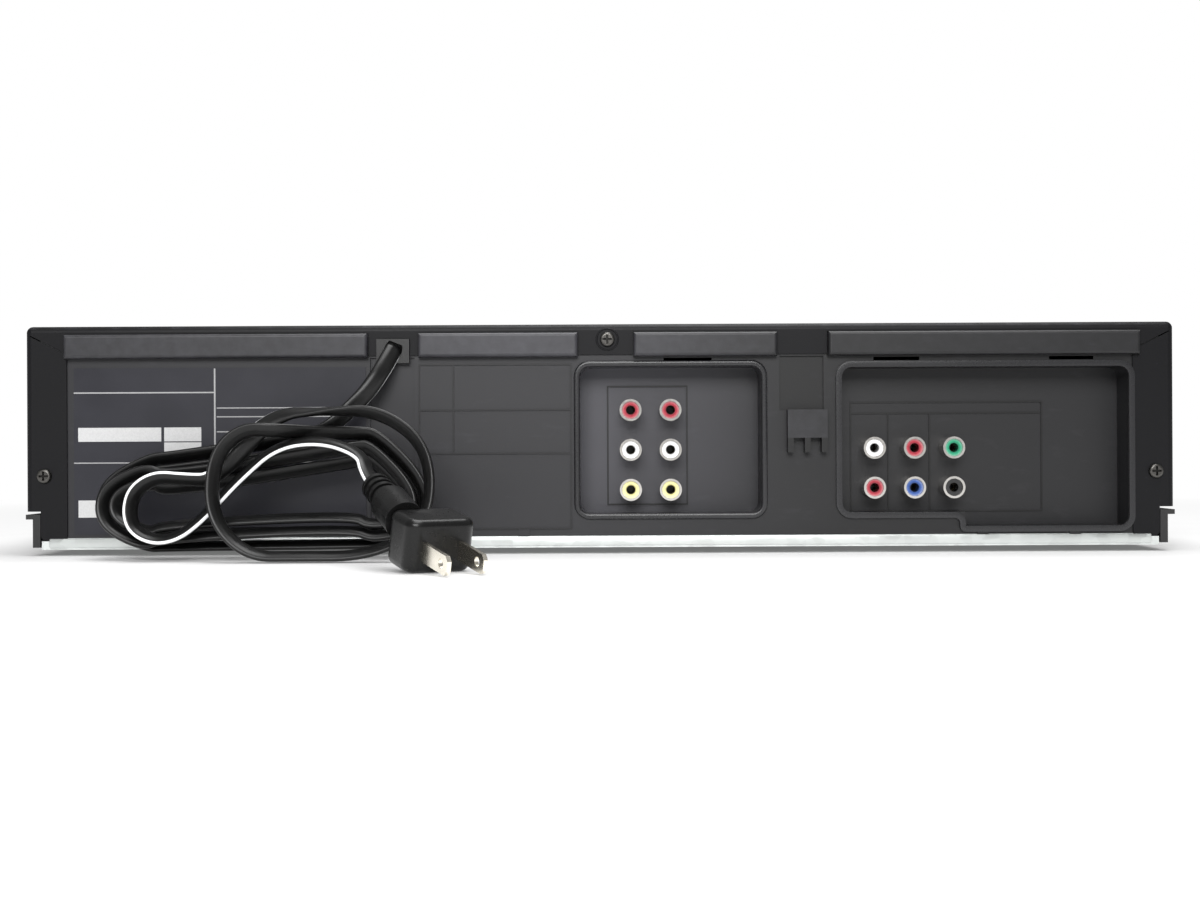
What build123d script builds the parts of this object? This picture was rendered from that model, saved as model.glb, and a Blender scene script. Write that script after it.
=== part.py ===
from build123d import *
import os
from math import acos, atan2, cos, degrees, hypot, pi, radians, sin, sqrt, tan

# A slim tape and disc player in one case, with its mains lead tied up behind it.
# Millimetres. +Z is up, the front faces -Y, the back with its sockets faces +Y, and the origin
# is the middle of the footprint, on the surface that the feet stand on.

# Case
body_width = 430.0
body_height = 86.0
body_depth = 262.0
sheet = 0.8
bend_radius = 2.4
moulded_wall = 2.4
fit_gap = 0.2
hood_proud = 3.0
button_proud = 1.0
front_depth = 15.0

# Faces of the case that other places are measured from
half_width = body_width / 2
rear_y = body_depth / 2 - hood_proud
front_y = -body_depth / 2
fascia_face = front_y + button_proud
fascia_back = fascia_face + front_depth

# Feet and bottom plate
foot_height = 2.4
foot_radius = 11.0
foot_inset_x = 38.0
front_foot_inset = 34.0
rear_foot_inset = 62.0
plate_inset = 6.0
lip_height = 4.3

# Chassis tray
rail_inset = 2.6
rail_wall = 2.8
rail_thickness = 1.8
rail_slit = 1.1
floor_thickness = 2.0
post_radius = 4.0
post_inset = 8.0
board_post_inset = 6.0

# Folded steel cover
cover_skirt_z = 16.7
top_flange = 11.5
side_flange = 15.5
flange_foot_z = 5.8
flange_corner = 2.0
mitre_width = 0.4
mitre_inset = (1.8, 14.4)
mitre_drop = (3.6, 9.8)

# Cover screws
screw_head_radius = 2.7
screw_head_height = 1.5
screw_dome = 0.9
screw_shank_radius = 1.3
screw_length = 5.0
screw_clearance = 0.1
cross_width = 0.8
cross_depth = 0.9
cross_arm = 1.75
side_screw_x = half_width - 7.1
side_screw_z = 30.0
top_screw_x = -2.9
top_screw_z = 80.2

# Rear panel
hood_bars = ((86.6, half_width - 15.1), (8.2, 67.7), (-66.3, -12.7), (13.3 - half_width, -85.3))
hood_low = 73.7
hood_high = 82.7
hood_rounding = 1.2
moulding_slots = ((-42.0, -24.0), (-119.8, -102.6), (-185.0, -168.4))
moulding_slot_low = 71.9
moulding_slot_high = 73.2
lip_tabs = (28.6, -143.2, -177.8)
lip_tab_width = 4.0
lip_tab_height = 2.4
rib_width = 0.6
rib_height = 0.4
frame_x = (10.9, 67.7)
frame_z = (9.4, 71.0)
frame_split_x = 54.6
frame_splits_z = (53.7, 37.4)
cord_channel_x = (69.4, 86.0)
cord_channel_depth = 1.0

# Socket bays
bay_depth = 13.0
bay_wall = 1.6
bay_corner = 4.0
line_bay_x = (-60.5, 7.5)
line_bay_z = (15.0, 70.0)
disc_bay_x = (17.0 - half_width, -90.6)
disc_bay_z = (15.0, 69.4)
disc_bay_step_x = -136.8
disc_bay_step_z = 9.7
line_rib_x = (-33.3, -3.0)
line_rib_z = (18.0, 63.0)
disc_rib_x = (-169.0, -96.0)
disc_rib_z = (14.9, 56.5)
disc_rib_split_x = (-110.6, -126.4)
disc_rib_split_z = 52.0

# Hook bracket between the bays
bracket_x = (-84.8, -70.0)
bracket_z = (43.0, 53.5)
bracket_proud = 4.0
prong_low = 37.6
prong_width = 2.2
bracket_channel_x = (-83.8, -67.4)

# Rating label
label_x = (87.6, half_width - 18.0)
label_z = (8.0, 70.3)
label_thickness = 0.3

# Sockets
sleeve_radius = 4.15
sleeve_neck = 3.95
sleeve_bore = 3.3
sleeve_length = 9.6
insulator_set_back = 0.9
insulator_bore = 1.7
contact_length = 3.0
contact_bore = 1.3
contact_clearance = 0.05
line_columns = (-11.6, -26.65)
line_rows = (53.8, 38.8, 23.7)
line_colours = ("red", "white", "yellow")
disc_columns = (-103.6, -118.7, -133.5)
disc_rows = (39.1, 24.1)
disc_colours = (("white", "red", "green"), ("red", "blue", "black"))
socket_block_depth = 14.0
socket_block_margin = 7.0

# Mains lead
cord_width = 6.8
cord_thickness = 3.4
bushing_x = (71.1, 83.3)
bushing_z = (71.6, 80.6)
bushing_proud = 1.5
bushing_flange = 2.0
bushing_grip = 3.0
exit_x = 77.4
exit_z = 75.6
exit_direction = Vector(0.30, 0.62, -0.73).normalized()
cord_seat_depth = 3.0
cord_first_run = 8.0

# Hank of the lead, which leans on the back of the case
hank_lean = radians(10.0)
hank_foot_y = 148.0
hank_pitch = 4.8
hank_climb_step = 0.7
hank_layer_pitch = 7.6
hank_turns_per_layer = 2
hank_right_x = 62.0
hank_left_x = 178.0
hank_left_top = 40.0
hank_right_top = 46.0
hank_run_right = 88.0
hank_run_left = 157.0
hank_start = (92.0, 55.0, -45.0)
hank_approach = 9.0
hank_entry = (108.0, 44.4, -12.0)
tie_climb_x = 114.0
tie_climb_height = 47.0
tie_left_x = 136.0
tie_right_x = 60.0
tie_top = 54.0
tie_top_x = 98.0
tie_bottom_x = 106.0
tie_middle = 27.0
last_loop = ((156.0, 30.0, 0.0), (168.0, 19.0, -90.0), (157.0, 6.0, 180.0), (135.0, 21.0, 138.0))
hank_end_x = 118.0
hank_end_height = 37.0
cord_gap_least = 0.4
cord_bend_share = 0.45

# Plug on the far end of the lead
plug_place = Vector(55.5, 212.0)
plug_turn = 33.0
plug_tilt = radians(13.0)
plug_width = 24.0
plug_depth = 17.0
plug_height = 17.5
plug_rounding = 2.5
plug_side_rounding = 4.5
blade_spacing = 12.7
blade_width = 6.3
blade_thickness = 1.5
blade_length = 17.0
blade_height = 7.5
blade_hole_radius = 1.6
blade_hole_reach = 12.75
blade_seat = 4.0
barrel_radius = 6.5
barrel_start = Vector(63.0, 212.0, 16.2)
barrel_length = 15.0
relief_direction = Vector(0.42, -0.84, 0.35).normalized()
relief_length = 15.0
relief_radius = 4.2
relief_ribs = 4
relief_rib_height = 0.8
plug_lead_start = 14.0
plug_lead_turn = Vector(-25.0, 6.4, -1.4)
plug_lead_arrival = 15.0

# Front panel and what it carries
door_width = 190.0
door_height = 27.0
door_thickness = 2.0
door_low = 52.5
hinge_radius = 1.2
hinge_fit = 0.05
hinge_drop = 1.6
hinge_length = 3.0
slot_gap = 0.4
window_x = (-40.0, 100.0)
window_z = (14.0, 38.0)
display_margin = 8.0
display_depth = 4.0
board_thickness = 1.6
front_board_z = (8.0, 42.0)
front_board_inset = 8.0
front_board_gap = 6.8
button_travel = 0.8
button_gap = 0.3
button_stem = 2.2
button_flange = 1.4
button_rows = (
    ("power_button", -194.0, 13.0, 13.0),
    ("disc_eject_button", -164.0, 22.0, 9.0),
    ("play_button", -134.0, 22.0, 9.0),
    ("stop_button", -104.0, 22.0, 9.0),
    ("tape_eject_button", 118.0, 18.0, 9.0),
    ("rewind_button", 143.0, 18.0, 9.0),
    ("forward_button", 168.0, 18.0, 9.0),
    ("record_button", 194.0, 13.0, 13.0),
)
button_z = 25.0

# Disc loader
loader_width = 150.0
loader_x = loader_width / 2 + 19.0 - half_width
loader_y = (fascia_back + 3.0, fascia_back + 185.0)
loader_base_z = 30.0
loader_height = 29.0
tray_width = 139.0
tray_thickness = 6.0
tray_low = 46.8
tray_end_y = fascia_back + 160.0
tray_front_width = 143.0
tray_front_height = 14.0
tray_front_thickness = 3.0
tray_seat_gap = 0.2
tray_slot_gap = 2.5
ledge_width = 6.0
ledge_height = 2.6
disc_radius = 61.0
disc_well = 2.5
disc_y = fascia_back + 57.0
gear_face = 3.4
tray_module = 1.0
tray_teeth = 20
tray_gear_x = loader_x + 49.0
tray_gear_y = fascia_back + 15.0
gear_backlash = 0.25
gear_shaft_radius = 1.2
shaft_fit = 0.05
rack_back = 3.0
traverse_width = 62.0
traverse_y = (disc_y - 22.0, disc_y + 102.0)
traverse_low = 33.5
traverse_thickness = 2.5
traverse_pivot_y = disc_y + 97.0
pivot_radius = 2.0
pivot_length = 4.0
ear_thickness = 5.0
ear_gap = 0.3
motor_radius = 12.0
motor_height = 5.0
spindle_radius = 1.0
turntable_radius = 14.0
turntable_low = 40.5
turntable_thickness = 2.5
turntable_hub_radius = 7.4
turntable_hub_height = 2.5
turntable_notch = 1.0
sled_width = 40.0
sled_y = (disc_y + 15.0, disc_y + 43.0)
sled_low = 37.0
sled_thickness = 4.0
lens_y = disc_y + 23.0
lens_radius = 3.5
lens_height = 1.5
rod_radius = 1.5
rod_spread = 32.0
rod_y = (disc_y + 8.0, disc_y + 87.0)
rod_block = 4.0
sled_module = 0.5
sled_teeth = 20
sled_gear_y = disc_y + 55.5
sled_rack_end_y = disc_y + 61.0

# Tape deck
deck_width = 199.0
deck_x = half_width - 13.5 - deck_width / 2
deck_y = (fascia_back + 23.0, fascia_back + 193.0)
deck_low = 24.0
deck_sheet = 1.2
deck_wall_top = 80.0
deck_wall_y = (fascia_back + 25.0, fascia_back + 109.0)
reel_spacing = 92.4
reel_y = fascia_back + 63.0
reel_radius = 15.0
reel_thickness = 3.0
reel_hub_radius = 5.0
reel_hub_height = 13.0
reel_post_radius = 1.5
reel_lift = 0.3
drum_y = fascia_back + 160.0
drum_radius = 31.0
drum_base_radius = 24.0
drum_base_height = 3.0
lower_drum_height = 17.0
upper_drum_height = 14.0
drum_gap = 0.3
drum_shaft_radius = 3.0
head_window = 4.0
capstan_x = deck_x - 56.0
capstan_y = fascia_back + 123.0
capstan_radius = 1.5
capstan_top = 58.0
flywheel_radius = 22.0
flywheel_hole_reach = 13.2
flywheel_hole_radius = 4.4
flywheel_z = (14.0, 18.0)
pinch_pivot = Vector(deck_x - 84.0, fascia_back + 139.0)
pinch_swing = 22.0
pinch_roller_radius = 6.0
pinch_roller_height = 14.0
pinch_gap = 0.3
pinch_arm_low = 38.0
pinch_arm_thickness = 2.0
pinch_post_radius = 2.0
pinch_pin_radius = 1.2
pinch_arm_width = 8.0
carriage_y = (fascia_back + 24.0, fascia_back + 110.0)
carriage_low = 49.0
carriage_sheet = 1.0
carriage_side_gap = 0.4
carriage_height = 29.0
carriage_drop = 17.0
carriage_strap = 10.0
carriage_pin_y = (fascia_back + 37.0, fascia_back + 97.0)
carriage_pin_z = 62.0
carriage_pin_radius = 1.5
carriage_pin_fit = 0.1
reel_clearance = 3.0

# Boards and what stands on them
board_z = 12.0
board_post_radius = 3.0
main_board_x = (10.0 - half_width, 46.0)
main_board_y = (rear_y - 48.0, rear_y - 16.0)
power_board_x = (58.0, half_width - 11.0)
power_board_y = (rear_y - 44.0, rear_y - 9.0)
transformer_x = (78.0, 122.0)
transformer_y = (rear_y - 40.0, rear_y - 12.0)
transformer_height = 36.0
winding_bulge = 3.0
winding_inset = 7.2
capacitor_x = 160.0
capacitor_y = rear_y - 26.0
capacitor_radius = 11.0
capacitor_height = 34.0
capacitor_rounding = 1.4

# Places that follow from the sizes above
panel_y = rear_y - sheet
panel_inner = panel_y - moulded_wall
plate_top = foot_height + sheet
lip_top = foot_height + lip_height
floor_top = plate_top + floor_thickness
rail_high = cover_skirt_z - rail_slit
chassis_out = half_width - rail_inset
chassis_in = chassis_out - rail_wall
flange_low = body_height - top_flange
flange_in = half_width - side_flange
bay_floor = panel_y - bay_depth
bay_back = bay_floor - bay_wall
board_top = board_z + board_thickness
deck_top = deck_low + deck_sheet
loader_top = loader_base_z + moulded_wall
traverse_top = traverse_low + traverse_thickness
line_sockets = [(x, z, line_colours[row]) for row, z in enumerate(line_rows) for x in line_columns]
disc_sockets = [(x, z, disc_colours[row][column]) for row, z in enumerate(disc_rows)
                for column, x in enumerate(disc_columns)]
sockets = line_sockets + disc_sockets
screw_places = ((-side_screw_x, side_screw_z), (side_screw_x, side_screw_z), (top_screw_x, top_screw_z))

bar_turns = {"X": (0, 90, 0), "Y": (90, 0, 0), "Z": (0, 0, 0)}


def block(x, y, z, mode=Mode.ADD):
    """Add or cut a box from its low and high x, y and z."""
    with Locations(((x[0] + x[1]) / 2, (y[0] + y[1]) / 2, (z[0] + z[1]) / 2)):
        Box(x[1] - x[0], y[1] - y[0], z[1] - z[0], mode=mode)


def bar(axis, radius, ends, at, mode=Mode.ADD):
    """Add or cut a round bar along X, Y or Z, between two ends, at the other two coordinates."""
    middle = (ends[0] + ends[1]) / 2
    places = {"X": (middle, *at), "Y": (at[0], middle, at[1]), "Z": (*at, middle)}
    with Locations(places[axis]):
        Cylinder(radius, ends[1] - ends[0], rotation=bar_turns[axis], mode=mode)


def grown(span, margin):
    """A low and high value, widened by a margin at both ends."""
    return (span[0] - margin, span[1] + margin)


def rib_frame(x, z, y):
    """Four thin ribs that stand on a face of the back at depth y."""
    depth = (y, y + rib_height)
    for side in x:
        block((side - rib_width / 2, side + rib_width / 2), depth, grown(z, rib_width / 2))
    for side in z:
        block(grown(x, rib_width / 2), depth, (side - rib_width / 2, side + rib_width / 2))


def keep(piece, label):
    """Name a finished piece and write it out."""
    piece.part.label = label
    export_step(piece.part, f"parts/{label}.step")


os.makedirs("parts", exist_ok=True)

# Top cover: a folded steel wrap whose back is turned in as flanges
with BuildPart() as top_cover:
    block((-half_width, half_width), (fascia_back, rear_y), (cover_skirt_z, body_height))
    top_edges = top_cover.edges().filter_by(Axis.Y).group_by(Axis.Z)[-1]
    back_edges = top_cover.faces().sort_by(Axis.Y)[-1].edges().sort_by(Axis.Z)[1:]
    fillet(top_edges + back_edges, bend_radius)
    open_faces = [top_cover.faces().sort_by(Axis.Z)[0], top_cover.faces().sort_by(Axis.Y)[0]]
    offset(amount=-sheet, openings=open_faces)
    flange_depth = (panel_y - fit_gap, rear_y + fit_gap)
    block((-flange_in, flange_in), flange_depth, (0, flange_low), Mode.SUBTRACT)
    for side in (-1, 1):
        with BuildSketch(Plane.XZ.offset(-rear_y)):
            with Locations((side * (flange_in + chassis_in - fit_gap) / 2, cover_skirt_z)):
                Rectangle(chassis_in - fit_gap - flange_in, 2 * (cover_skirt_z - flange_foot_z))
        extrude(amount=sheet)
    foot_corners = top_cover.edges().filter_by(Axis.Y).group_by(Axis.Z)[0]
    fillet(foot_corners, flange_corner)
    for ends in hood_bars:
        block(grown(ends, fit_gap), flange_depth, grown((hood_low, hood_high), fit_gap), Mode.SUBTRACT)
    block(grown(bushing_x, fit_gap), flange_depth, grown(bushing_z, fit_gap), Mode.SUBTRACT)
    for place in screw_places:
        bar("Y", screw_shank_radius + screw_clearance, flange_depth, place, Mode.SUBTRACT)
    mitre_run = (mitre_inset[1] - mitre_inset[0], mitre_drop[1] - mitre_drop[0])
    mitre_at = (half_width - sum(mitre_inset) / 2, body_height - sum(mitre_drop) / 2)
    for side in (-1, 1):
        with BuildSketch(Plane.XZ.offset(-rear_y)):
            with Locations((side * mitre_at[0], mitre_at[1])):
                Rectangle(hypot(*mitre_run), mitre_width, rotation=side * degrees(atan2(*mitre_run[::-1])))
        extrude(amount=sheet, mode=Mode.SUBTRACT)
keep(top_cover, "top_cover")

# Main chassis: a moulded tray with side walls, outward rails and the posts that carry the works
deck_posts = [(x, y) for x in grown((deck_x - deck_width / 2, deck_x + deck_width / 2), -post_inset)
              for y in grown(deck_y, -post_inset)]
loader_posts = [(loader_x + side * (loader_width / 2 - board_post_inset), y) for side in (-1, 1)
                for y in grown(loader_y, -post_inset)]
board_posts = [(x, y) for ends, depth in ((main_board_x, main_board_y), (power_board_x, power_board_y))
               for x in grown(ends, -board_post_inset) for y in grown(depth, -board_post_inset)]
with BuildPart() as main_chassis:
    block((-chassis_in, chassis_in), (fascia_back, panel_inner - fit_gap), (plate_top, floor_top))
    for side in (-1, 1):
        inner, outer, rim = sorted((side * chassis_in, side * chassis_out, side * half_width), key=abs)
        block(sorted((inner, outer)), (fascia_back, rear_y), (plate_top, rail_high))
        block(sorted((inner, rim)), (fascia_back, rear_y), (rail_high - rail_thickness, rail_high))
    for place in deck_posts:
        bar("Z", post_radius, (floor_top, deck_low), place)
    for place in loader_posts:
        bar("Z", post_radius, (floor_top, loader_base_z), place)
    for place in board_posts:
        bar("Z", board_post_radius, (floor_top, board_z), place)
keep(main_chassis, "main_chassis")

# Bottom plate: bright zinc-plated steel with a lip turned up at the back
plate_half = half_width - plate_inset
with BuildPart() as bottom_plate:
    block((-plate_half, plate_half), (fascia_back, rear_y), (foot_height, plate_top))
    block((-plate_half, plate_half), (panel_y, rear_y), (foot_height, flange_foot_z - fit_gap))
    lip_half = flange_in - fit_gap
    block((-lip_half, lip_half), (panel_y, rear_y), (foot_height, lip_top))
    for x in lip_tabs:
        tab = grown((x - lip_tab_width / 2, x + lip_tab_width / 2), fit_gap)
        block(tab, (panel_y, rear_y), (lip_top - lip_tab_height - fit_gap, lip_top), Mode.SUBTRACT)
keep(bottom_plate, "bottom_plate")

with BuildPart() as feet:
    for x in (foot_inset_x - half_width, half_width - foot_inset_x):
        for y in (front_y + front_foot_inset, rear_y - rear_foot_inset):
            bar("Z", foot_radius, (0, foot_height), (x, y))
keep(feet, "feet")

# Rear panel: hood bars, two sunk bays with socket holes, the bare frame and the hook bracket
with BuildPart() as rear_panel:
    panel_half = chassis_in - fit_gap
    panel_depth = (panel_inner, panel_y)
    through = (bay_back - fit_gap, rear_y + hood_proud)
    block((-panel_half, panel_half), panel_depth, (lip_top, body_height - bend_radius - fit_gap))
    for x, z in ((line_bay_x, line_bay_z), (disc_bay_x, disc_bay_z)):
        block(grown(x, bay_wall), (bay_back, panel_y), grown(z, bay_wall))
    step_x = (disc_bay_x[0], disc_bay_step_x)
    block(grown(step_x, bay_wall), (bay_back, panel_y), (disc_bay_step_z - bay_wall, disc_bay_z[0]))
    for x, z in ((line_bay_x, line_bay_z), (disc_bay_x, disc_bay_z)):
        with BuildSketch(Plane.XZ.offset(-panel_y)):
            with Locations(((x[0] + x[1]) / 2, (z[0] + z[1]) / 2)):
                RectangleRounded(x[1] - x[0], z[1] - z[0], bay_corner)
        extrude(amount=bay_depth, mode=Mode.SUBTRACT)
    block(step_x, (bay_floor, panel_y), (disc_bay_step_z, disc_bay_z[0] + bay_corner), Mode.SUBTRACT)
    for x, z, colour in sockets:
        bar("Y", sleeve_neck + screw_clearance, (bay_back, bay_floor), (x, z), Mode.SUBTRACT)
    for ends in hood_bars:
        block(ends, (panel_inner, rear_y + hood_proud), (hood_low, hood_high))
    hood_edges = rear_panel.edges().group_by(Axis.Y)[-1]
    fillet(hood_edges, hood_rounding)
    for ends in moulding_slots:
        block(ends, panel_depth, (moulding_slot_low, moulding_slot_high), Mode.SUBTRACT)
    for x in lip_tabs:
        tab = (x - lip_tab_width / 2, x + lip_tab_width / 2)
        block(tab, (panel_inner, panel_y), (lip_top - lip_tab_height, lip_top))
        block(tab, (panel_y, rear_y), (lip_top - lip_tab_height, lip_top + lip_tab_height))
    groove = (panel_y - cord_channel_depth, panel_y)
    block(cord_channel_x, groove, (lip_top, hood_low), Mode.SUBTRACT)
    block(bracket_channel_x, groove, (bracket_z[1], hood_low), Mode.SUBTRACT)
    block(bracket_x, (panel_inner, panel_y + bracket_proud), bracket_z)
    for x in (bracket_x[0], (bracket_x[0] + bracket_x[1] - prong_width) / 2, bracket_x[1] - prong_width):
        block((x, x + prong_width), (panel_inner, panel_y + bracket_proud), (prong_low, bracket_z[0]))
    rib_frame(frame_x, frame_z, panel_y)
    frame_ribs = (panel_y, panel_y + rib_height)
    block((frame_split_x, frame_split_x + rib_width), frame_ribs, (frame_splits_z[1], frame_z[1]))
    for z in frame_splits_z:
        block(frame_x, frame_ribs, (z, z + rib_width))
    rib_frame(line_rib_x, line_rib_z, bay_floor)
    rib_frame(disc_rib_x, disc_rib_z, bay_floor)
    bay_ribs = (bay_floor, bay_floor + rib_height)
    block((disc_rib_x[0], disc_rib_x[1]), bay_ribs, (disc_rib_split_z, disc_rib_split_z + rib_width))
    for x in disc_rib_split_x:
        block((x, x + rib_width), bay_ribs, (disc_rib_z[0], disc_rib_split_z))
    block(bushing_x, through, bushing_z, Mode.SUBTRACT)
    for place in screw_places:
        bar("Y", screw_shank_radius + screw_clearance, panel_depth, place, Mode.SUBTRACT)
keep(rear_panel, "rear_panel")

with BuildPart() as rating_label:
    block(label_x, (panel_y, panel_y + label_thickness), label_z)
keep(rating_label, "rating_label")

# Cover screws: domed heads with a cross recess
with BuildPart() as cover_screws:
    for x, z in screw_places:
        bar("Y", screw_head_radius, (rear_y, rear_y + screw_head_height), (x, z))
        bar("Y", screw_shank_radius, (rear_y - screw_length, rear_y), (x, z))
    rims = cover_screws.edges().filter_by(GeomType.CIRCLE).group_by(Axis.Y)[-1]
    fillet(rims, screw_dome)
    recess = (rear_y + screw_head_height - cross_depth, rear_y + screw_head_height)
    for x, z in screw_places:
        block(grown((x, x), cross_arm), recess, grown((z, z), cross_width / 2), Mode.SUBTRACT)
        block(grown((x, x), cross_width / 2), recess, grown((z, z), cross_arm), Mode.SUBTRACT)
keep(cover_screws, "cover_screws")

# Sockets: nickel sleeves, coloured insulators and the contacts inside them
sleeve_end = bay_floor + sleeve_length
with BuildPart() as jack_sleeves:
    for x, z, colour in sockets:
        bar("Y", sleeve_neck, (bay_back, bay_floor), (x, z))
        bar("Y", sleeve_radius, (bay_floor, sleeve_end), (x, z))
        bar("Y", sleeve_bore, (bay_back, sleeve_end), (x, z), Mode.SUBTRACT)
keep(jack_sleeves, "jack_sleeves")

for wanted in ("red", "white", "yellow", "green", "blue", "black"):
    with BuildPart() as insulators:
        for x, z, colour in sockets:
            if colour == wanted:
                ends = (bay_back, sleeve_end - insulator_set_back)
                bar("Y", sleeve_bore - contact_clearance, ends, (x, z))
                bar("Y", insulator_bore, ends, (x, z), Mode.SUBTRACT)
    keep(insulators, f"{wanted}_insulators")

with BuildPart() as jack_contacts:
    for x, z, colour in sockets:
        ends = (bay_back, bay_back + contact_length)
        bar("Y", insulator_bore - contact_clearance, ends, (x, z))
        bar("Y", contact_bore, ends, (x, z), Mode.SUBTRACT)
keep(jack_contacts, "jack_contacts")

for name, places in (("line_jack_block", line_sockets), ("disc_jack_block", disc_sockets)):
    columns = [place[0] for place in places]
    rows = [place[1] for place in places]
    with BuildPart() as jack_block:
        width = grown((min(columns), max(columns)), socket_block_margin)
        block(width, (bay_back - socket_block_depth, bay_back), (board_top, max(rows) + socket_block_margin))
    keep(jack_block, name)

# Cord bushing: a block through the panel with a slanted seat for the lead
bushing_face = rear_y + bushing_proud
exit_point = Vector(exit_x, bushing_face, exit_z)
cord_seat = exit_point - exit_direction * cord_seat_depth
with BuildPart() as cord_bushing:
    block(bushing_x, (panel_inner, bushing_face), bushing_z)
    grip = (panel_inner - bushing_grip, panel_inner)
    block(grown(bushing_x, bushing_flange), grip, grown(bushing_z, bushing_flange))
    with BuildSketch(Plane(origin=cord_seat, z_dir=exit_direction)):
        Circle(cord_width / 2 + contact_clearance)
    extrude(amount=4 * cord_seat_depth, mode=Mode.SUBTRACT)
keep(cord_bushing, "cord_bushing")


# Mains lead: a straight start in the bushing, then a short drop to the hank
hank_up = Vector(0, -sin(hank_lean), cos(hank_lean))
hank_out = Vector(0, cos(hank_lean), sin(hank_lean))
hank_bottom = (cord_thickness + cord_width * sin(hank_lean)) / 2 + contact_clearance
cord_section = (cord_width - cord_thickness) * cord_thickness + pi * (cord_thickness / 2)**2


def hank_point(x, height, layer):
    """A place on the hank: along the case, up the leaning face, and out by whole layers."""
    return Vector(x, hank_foot_y + layer * hank_layer_pitch, 0) + hank_up * height


def hank_heading(angle):
    """A direction in the hank's face: 0 runs along +X and 90 runs up it."""
    return Vector(1, 0, 0) * cos(radians(angle)) + hank_up * sin(radians(angle))


def route_radii(points):
    """The largest fillet that each corner of a route leaves room for."""
    radii = []
    for before, corner, after in zip(points, points[1:], points[2:]):
        turn = radians((corner - before).get_angle(after - corner))
        shorter = min((corner - before).length, (after - corner).length)
        radii.append(cord_bend_share * shorter / tan(turn / 2))
    return radii


def lead_along(points, name):
    """A flat lead on straight runs joined by arcs, with its measured length."""
    radii = route_radii(points)
    with BuildPart() as lead:
        with BuildLine() as route:
            FilletPolyline(*points, radius=radii)
        with BuildSketch(Plane(origin=points[0], x_dir=hank_out, z_dir=points[1] - points[0])):
            SlotOverall(cord_width, cord_thickness)
        sweep()
    length = sum(edge.length for edge in route.edges())
    print(name, "length", round(length, 1), "radii", [round(radius, 1) for radius in radii],
          "volume over section times length", round(lead.part.volume / (cord_section * length), 4))
    keep(lead, name)


hank_first = hank_point(hank_start[0], hank_start[1], 0)
hank_first_heading = hank_heading(hank_start[2])
lead_along([
    hank_first,
    hank_first - hank_first_heading * hank_approach,
    exit_point + exit_direction * cord_first_run,
    cord_seat,
], "power_cord")

# Hank: one unbroken lead that spirals in and out in two layers, ties itself and loops back
stops = [(*hank_start, 0), (*hank_entry, 0)]
turns = 2 * hank_turns_per_layer
for turn in range(turns):
    layer = turn // hank_turns_per_layer
    for step in range(6):
        travelled = turn + step / 6
        inset = hank_pitch * (travelled if layer == 0 else turns - travelled)
        climbing = turn == hank_turns_per_layer and step == 0
        middle = (hank_bottom + hank_left_top) / 2
        corners = (
            (hank_run_right, hank_right_top - inset - (hank_climb_step if climbing else 0), 0),
            (hank_run_left, hank_left_top - inset, 0),
            (hank_left_x - inset, middle, -90),
            (hank_run_left, hank_bottom + inset, 180),
            (hank_run_right, hank_bottom + inset, 180),
            (hank_right_x + inset, middle, 90),
        )
        if turn + step > 0:
            stops.append((*corners[step], 0 if climbing else layer))
stops += [
    (hank_run_right, hank_right_top, 0, 1),
    (tie_climb_x, tie_climb_height, 0, 3),
    (tie_left_x, tie_middle, -90, 3),
    (tie_bottom_x, hank_bottom, 180, 3),
    (tie_right_x, tie_middle, 90, 3),
    (tie_top_x, tie_top, 0, 2),
]
stops += [(*stop, 2) for stop in last_loop]
stops.append((hank_end_x, hank_end_height, 180, 2))


def arc_from(start, end, heading):
    """An arc that leaves its start along a heading, or a line where that is straight ahead."""
    if (end - start).normalized().cross(heading).length < 1e-5:
        Line(start, end)
    else:
        TangentArc(start, end, tangent=heading)


def biarc(start, heading, end, end_heading):
    """Two arcs that leave along one heading and arrive along another."""
    chord = end - start
    along = chord.dot(heading + end_heading)
    spread = 2 * (1 - heading.dot(end_heading))
    if spread < 1e-9:
        reach = chord.dot(chord) / (2 * along)
    else:
        reach = (sqrt(along**2 + spread * chord.dot(chord)) - along) / spread
    middle = (start + end + (heading - end_heading) * reach) * 0.5
    middle_heading = (end - end_heading * reach - start - heading * reach).normalized()
    arc_from(start, middle, heading)
    arc_from(middle, end, middle_heading)


with BuildPart() as cord_hank:
    with BuildLine() as hank_path:
        places = [(hank_point(x, height, layer), hank_heading(angle)) for x, height, angle, layer in stops]
        Line(places[0][0], places[0][0] + places[0][1] * cord_width)
        places[0] = (places[0][0] + places[0][1] * cord_width, places[0][1])
        for (start, heading), (end, end_heading) in zip(places, places[1:]):
            biarc(start, heading, end, end_heading)
        hank_last = places[-1][0] + places[-1][1] * cord_width
        Line(places[-1][0], hank_last)
    with BuildSketch(Plane(origin=hank_first, x_dir=hank_out, z_dir=hank_first_heading)):
        SlotOverall(cord_width, cord_thickness)
    sweep()
keep(cord_hank, "cord_hank")

hank_edges = hank_path.edges()
hank_length = sum(edge.length for edge in hank_edges)
samples = []
travelled = 0.0
for edge in hank_edges:
    count = max(2, int(edge.length / 2))
    for index in range(count):
        samples.append((travelled + edge.length * index / count, edge.position_at(index / count)))
    travelled += edge.length


def flat_gap(a, b):
    """The room between two stretches of the flat lead whose broad sides face along the hank."""
    across = abs((b - a).dot(hank_out))
    beside = sqrt(max(0.0, (b - a).length**2 - across**2))
    return max(across - cord_width, beside - cord_thickness)


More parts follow.
